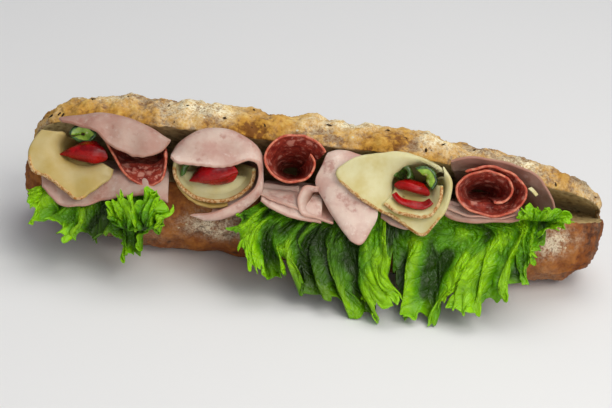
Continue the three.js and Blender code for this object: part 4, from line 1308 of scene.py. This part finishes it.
# What all leaves share, in millimetres: their cells are the blisters between the veins
leafShape = {
    "thickness": 0.6,
    "rounding": 0.4,
    "hemRows": 1.35,
    "cells": 5.2,
    "smallCells": 2.3,
    "flare": 3.2,
    "flareWidth": 8,
    "offFloor": 0.6,
    "furthest": -71.5,
    "ease": 3,
}


def leafPiece(node, leaf, seed):
    columns, rows = leaf["grid"]
    s = np.linspace(0, 1, columns + 1)
    t = np.linspace(0, 1, rows + 1) ** leafShape["hemRows"]
    lines = linesOf(leaf)
    hem, root = lines[0](s), lines[-1](s)
    along = lengthsAlong(hem, 0)
    reach = np.linalg.norm(hem - root, axis=-1)[:, None]
    notches = hemNotches(along, leaf["lobes"], seed)
    notches += sum(deep * bump(x, width, hem[:, 0]) for x, deep, width in leaf["gaps"])
    tt = t[None, :] + notches[:, None] / reach * (1 - t[None, :])
    p = throughLines(lines, s, tt)
    back = tt * reach
    across = along[:, None] + 0 * back
    flat = np.stack([across, back * 0.6, 0 * back], -1)
    across = across + 3.2 * waves(flat, 30, seed) + 1.1 * waves(flat, 9, seed + 1)

    # broad folds as in the solid, then ruffles that get finer and steeper towards the hem
    depth, pitch, start = leaf["folds"]
    hang = smooth(0.62, 0.15, tt)
    phase = (hem[:, 0] / pitch * 2 * np.pi + start)[:, None] + 0.9 * waves(flat, 30, seed + 2)
    fold = 0.62 * depth * hang * (np.sin(phase) + 0.3 * np.sin(2.6 * phase + 1 + 3 * tt))
    fold = fold + 1.3 * smooth(0.75, 0.4, tt) * waves(flat, 14, seed + 3)
    sideways = 0.25 * depth * hang * np.sin(2 * phase + 0.6)
    rise = 0.3 * depth * smooth(0.3, 0, tt) * np.sin(2.6 * phase + 2.4)
    calmAt, calmWidth, calm = leaf.get("calm", (0, 1, 0))
    quiet = 1 - calm * bump(calmAt, calmWidth, p[..., 0])
    for order, (every, height, begins) in enumerate(leaf["ruffles"]):
        near = smooth(begins, 0, tt)
        grown = near * np.clip(0.8 + 0.45 * waves(flat, every * 2, seed + 20 + order), 0.1, 1.7)
        turn = across * np.pi / every + 1.2 * waves(flat, every * 1.7, seed + 30 + order)
        if order < 2:
            grown = grown * quiet
        fold = fold + height * grown * (2 * np.sqrt(np.sin(turn) ** 2 + 0.03) - 1.3)
        sideways = sideways + 0.26 * every * grown * near * np.sin(2 * turn + 1)
        rise = rise + 0.8 * height * grown * np.sin(2 * turn + 2 + order)
    atHem = np.clip(1 - back / leafShape["flareWidth"], 0, 1) ** 2
    fold = fold + leafShape["flare"] * atHem * (0.5 + waves(flat, 13, seed + 4))
    # recesses are pushed back and given painted shade
    dark = np.zeros_like(fold)
    for centre, width, inwards, shade in leaf["recess"]:
        here = bump(centre, width, p[..., 0]) * smooth(0.62, 0.3, tt)
        fold = fold - inwards * here
        dark = np.maximum(dark, shade * here)
    wander = 1.6 * waves(flat, 9, seed + 5)
    borders = cellBorders(across + wander, back * 0.6 - wander, leafShape["cells"], seed)
    smallBorders = cellBorders(across, back * 0.75 + wander, leafShape["smallCells"], seed + 1)
    puffs, small = smooth(0, 0.6, borders), smooth(0, 0.5, smallBorders)
    blisters = (leaf.get("puff", 1.1) * (puffs - 0.5) + 0.35 * small) * smooth(0.8, 0.5, tt)
    n = p[..., 2] - 4 * smooth(0.45, 0, tt) + fold + blisters
    u = p[..., 1] - leaf.get("longer", 1.2) * smooth(0.35, 0, tt) + rise
    p = fromMouth(betweenCuts(np.stack([p[..., 0] + sideways, u, n], -1), leaf["below"]))

    # off the floor, and no further out than the solids
    p[..., 2] = np.maximum(p[..., 2], leafShape["offFloor"] + 0.02 * back)
    tooFar = np.maximum(leafShape["furthest"] - p[..., 1], 0)
    p[..., 1] += tooFar - leafShape["ease"] * np.tanh(tooFar / leafShape["ease"])
    # numbers for the colours: fold gives painted light on ridges and painted shade in hollows, crease painted
    # shade between blisters, dark painted shade in recesses
    numbers = {
        "across": across,
        "back": back,
        "fold": smooth(-4, 3.4, fold),
        "crease": np.maximum(1 - puffs, 0.6 * (1 - small)),
        "dark": dark,
    }
    return sheetPiece(pieceName(node), p, leafShape["thickness"], leafShape["rounding"], numbers)


# Painted light on the ridges and painted shade in the hollows, and painted shade in the creases between
# blisters and along a net of sunken veins that is drawn over the leaf's own grid
def lettuceMaterial():
    material, tree, shader, place = newMaterial("lettuce", 0.3, {
        "Subsurface Weight": 0.1, "Subsurface Scale": 0.0015, "Subsurface Radius": (0.5, 1.0, 0.15),
        "Specular IOR Level": 0.28,
    })
    cloud = noiseOf(tree, place, 0.011, 4.0, 0.6, 2.0)
    # painted light and shade: the fold height makes ridges lighter and hollows darker
    tone = calc(tree, "MULTIPLY_ADD", calc(tree, "SUBTRACT", cloud, 0.5), 1.1, numberOf(tree, "fold"))
    tint = overlay(tree, colour(34, 58, 0), (90, 152, 0), tone, 0.15, 0.5)
    tint = overlay(tree, tint, (152, 210, 6), tone, 0.5, 0.95)
    back = numberOf(tree, "back")
    flat = addNode(tree, "ShaderNodeCombineXYZ", {0: numberOf(tree, "across"), 1: back}).outputs[0]
    flat = vectorCalc(tree, "MULTIPLY", {0: flat, 1: (1.0, 0.6, 1.0)})
    bend = addNode(tree, "ShaderNodeTexNoise", {"Vector": flat, "Scale": 0.35, "Detail": 2.0})
    flat = vectorCalc(tree, "MULTIPLY_ADD", {0: bend.outputs["Color"], 1: (3.0, 3.0, 3.0), 2: flat})
    thick = cellsOf(tree, flat, 3.4, "DISTANCE_TO_EDGE", 1.0).outputs["Distance"]
    thin = cellsOf(tree, flat, 1.5, "DISTANCE_TO_EDGE", 2.0).outputs["Distance"]
    thin = calc(tree, "MULTIPLY", remap(tree, thin, 0.1, 0.0), 0.55)
    vein = calc(tree, "MAXIMUM", remap(tree, thick, 0.08, 0.0), thin)
    # painted shade in the creases between blisters and along the veins
    hollow = calc(tree, "MULTIPLY", numberOf(tree, "crease"), 0.8)
    crease = calc(tree, "MAXIMUM", calc(tree, "MULTIPLY", vein, 0.75), hollow)
    tint = mixColours(tree, calc(tree, "MULTIPLY", crease, 0.5), tint, colour(40, 84, 4))
    tint = overlay(tree, tint, (138, 204, 16), back, 7.0, 0.5, 0.5)
    # painted shade where a leaf is recessed
    tint = mixColours(tree, numberOf(tree, "dark"), tint, colour(26, 40, 8))
    fine = noiseOf(tree, place, 0.0022, 4.0, 0.65, 4.0)
    height = calc(tree, "MULTIPLY_ADD", vein, -0.8, fine)
    dress(tree, shader, tint, height, 0.0009, 0.6, remap(tree, fine, 0.3, 0.7, 0.2, 0.42))
    return material


lettuce = lettuceMaterial()
for order, (node, leaf) in enumerate(leaves.items()):
    standsFor = [] if leaf.get("extra") else [node]
    settle(leafPiece(node, leaf, 3 + order), "lettuce", lettuce, *standsFor)
print("leaves hung:", len(leaves))


# Small flakes scattered over a piece where one of its numbers is high; sizes in metres,
# counts for a square metre. The first line is what they share
flake = {"Where": "crust", "Per area": 7500.0, "Size": 0.0006, "Length": 1.3, "Height": 0.35, "Seed": 4.0}
scatters = {
    "lidHerbs": {
        "over": lidPiece, "slot": "lid_crust", "colour": (66, 46, 20), "Size": 0.00062, "Length": 2.1,
    },
    "lidFlour": {
        "over": lidPiece, "slot": "lid_crust", "colour": (240, 230, 198), "Where": "dust",
        "Per area": 42000.0, "Size": 0.0007, "Seed": 12.0,
    },
    "baseFlour": {
        "over": basePiece, "slot": "base_crust", "colour": (228, 208, 170), "Where": "dust",
        "Per area": 34000.0, "Size": 0.0005, "Seed": 21.0,
    },
}


def makeScatterTree():
    tree, given, out = newTree("flakeScatter", {**flake, "Material": bpy.data.materials.new("flake")})
    place = tree.nodes.new("GeometryNodeInputPosition").outputs[0]
    outwards = tree.nodes.new("GeometryNodeInputNormal").outputs[0]
    patches = remap(tree, noiseOf(tree, place, 0.016, 2.0, 0.5, given["Seed"]), 0.4, 0.62)
    chosen = calc(tree, "MULTIPLY", patches, numberInTree(tree, given["Where"]))
    density = calc(tree, "MULTIPLY", given["Per area"], chosen)
    inputs = {"Mesh": given["Geometry"], "Density": density, "Seed": given["Seed"]}
    spread = addNode(tree, "GeometryNodeDistributePointsOnFaces", inputs, distribute_method="RANDOM").outputs

    # one lumpy flake, turned about its own upright at each point
    ball = addNode(tree, "GeometryNodeMeshIcoSphere", {"Radius": given["Size"], "Subdivisions": 2}).outputs[0]
    lumps = noiseOf(tree, place, 0.0009, 2.0, 0.5, given["Seed"])
    lumpy = calc(tree, "MULTIPLY", calc(tree, "SUBTRACT", lumps, 0.5), given["Size"])
    ball = movedBy(tree, ball, outwards, lumpy)
    inputs = {0: (0.0, 0.0, 0.0), 1: (0.0, 0.0, 6.28), "Seed": 3}
    turn = addNode(tree, "FunctionNodeRandomValue", inputs, data_type="FLOAT_VECTOR").outputs[0]
    inputs = {"Rotation": spread["Rotation"], "Rotate By": turn}
    turned = addNode(tree, "FunctionNodeRotateRotation", inputs, rotation_space="LOCAL").outputs[0]
    much = addNode(tree, "FunctionNodeRandomValue", {2: 0.45, 3: 1.25}, data_type="FLOAT").outputs[1]
    inputs = {0: given["Length"], 1: 1.0, 2: given["Height"]}
    shape = addNode(tree, "ShaderNodeCombineXYZ", inputs).outputs[0]
    scale = vectorCalc(tree, "SCALE", {0: shape, "Scale": much})
    inputs = {"Points": spread["Points"], "Instance": ball, "Rotation": turned, "Scale": scale}
    laid = addNode(tree, "GeometryNodeInstanceOnPoints", inputs).outputs[0]
    real = addNode(tree, "GeometryNodeRealizeInstances", {0: laid}).outputs[0]
    inputs = {"Geometry": real, "Material": given["Material"]}
    tree.links.new(addNode(tree, "GeometryNodeSetMaterial", inputs).outputs[0], out[0])
    return tree


def flakeMaterial(name, shown):
    material, tree, shader, place = newMaterial(name, 0.85, {"Specular IOR Level": 0.2})
    grain = noiseOf(tree, place, 0.0007, 3.0, 0.6, 3.0)
    tint = mixColours(tree, grain, colour(*shown), colour(*(c * 0.78 for c in shown)))
    dress(tree, shader, tint, grain, 0.0003, 0.5)
    return material


scatterTree = makeScatterTree()
for name, spec in scatters.items():
    material = flakeMaterial(name, spec["colour"])
    flakes = addObject(name, spec["over"].data.copy())
    runTree(flakes, scatterTree, {**flake, **spec, "Material": material})
    settle(flakes, spec["slot"], material)
    print(name, "made, faces:", len(flakes.data.polygons))
print("flakes scattered:", len(scatters))
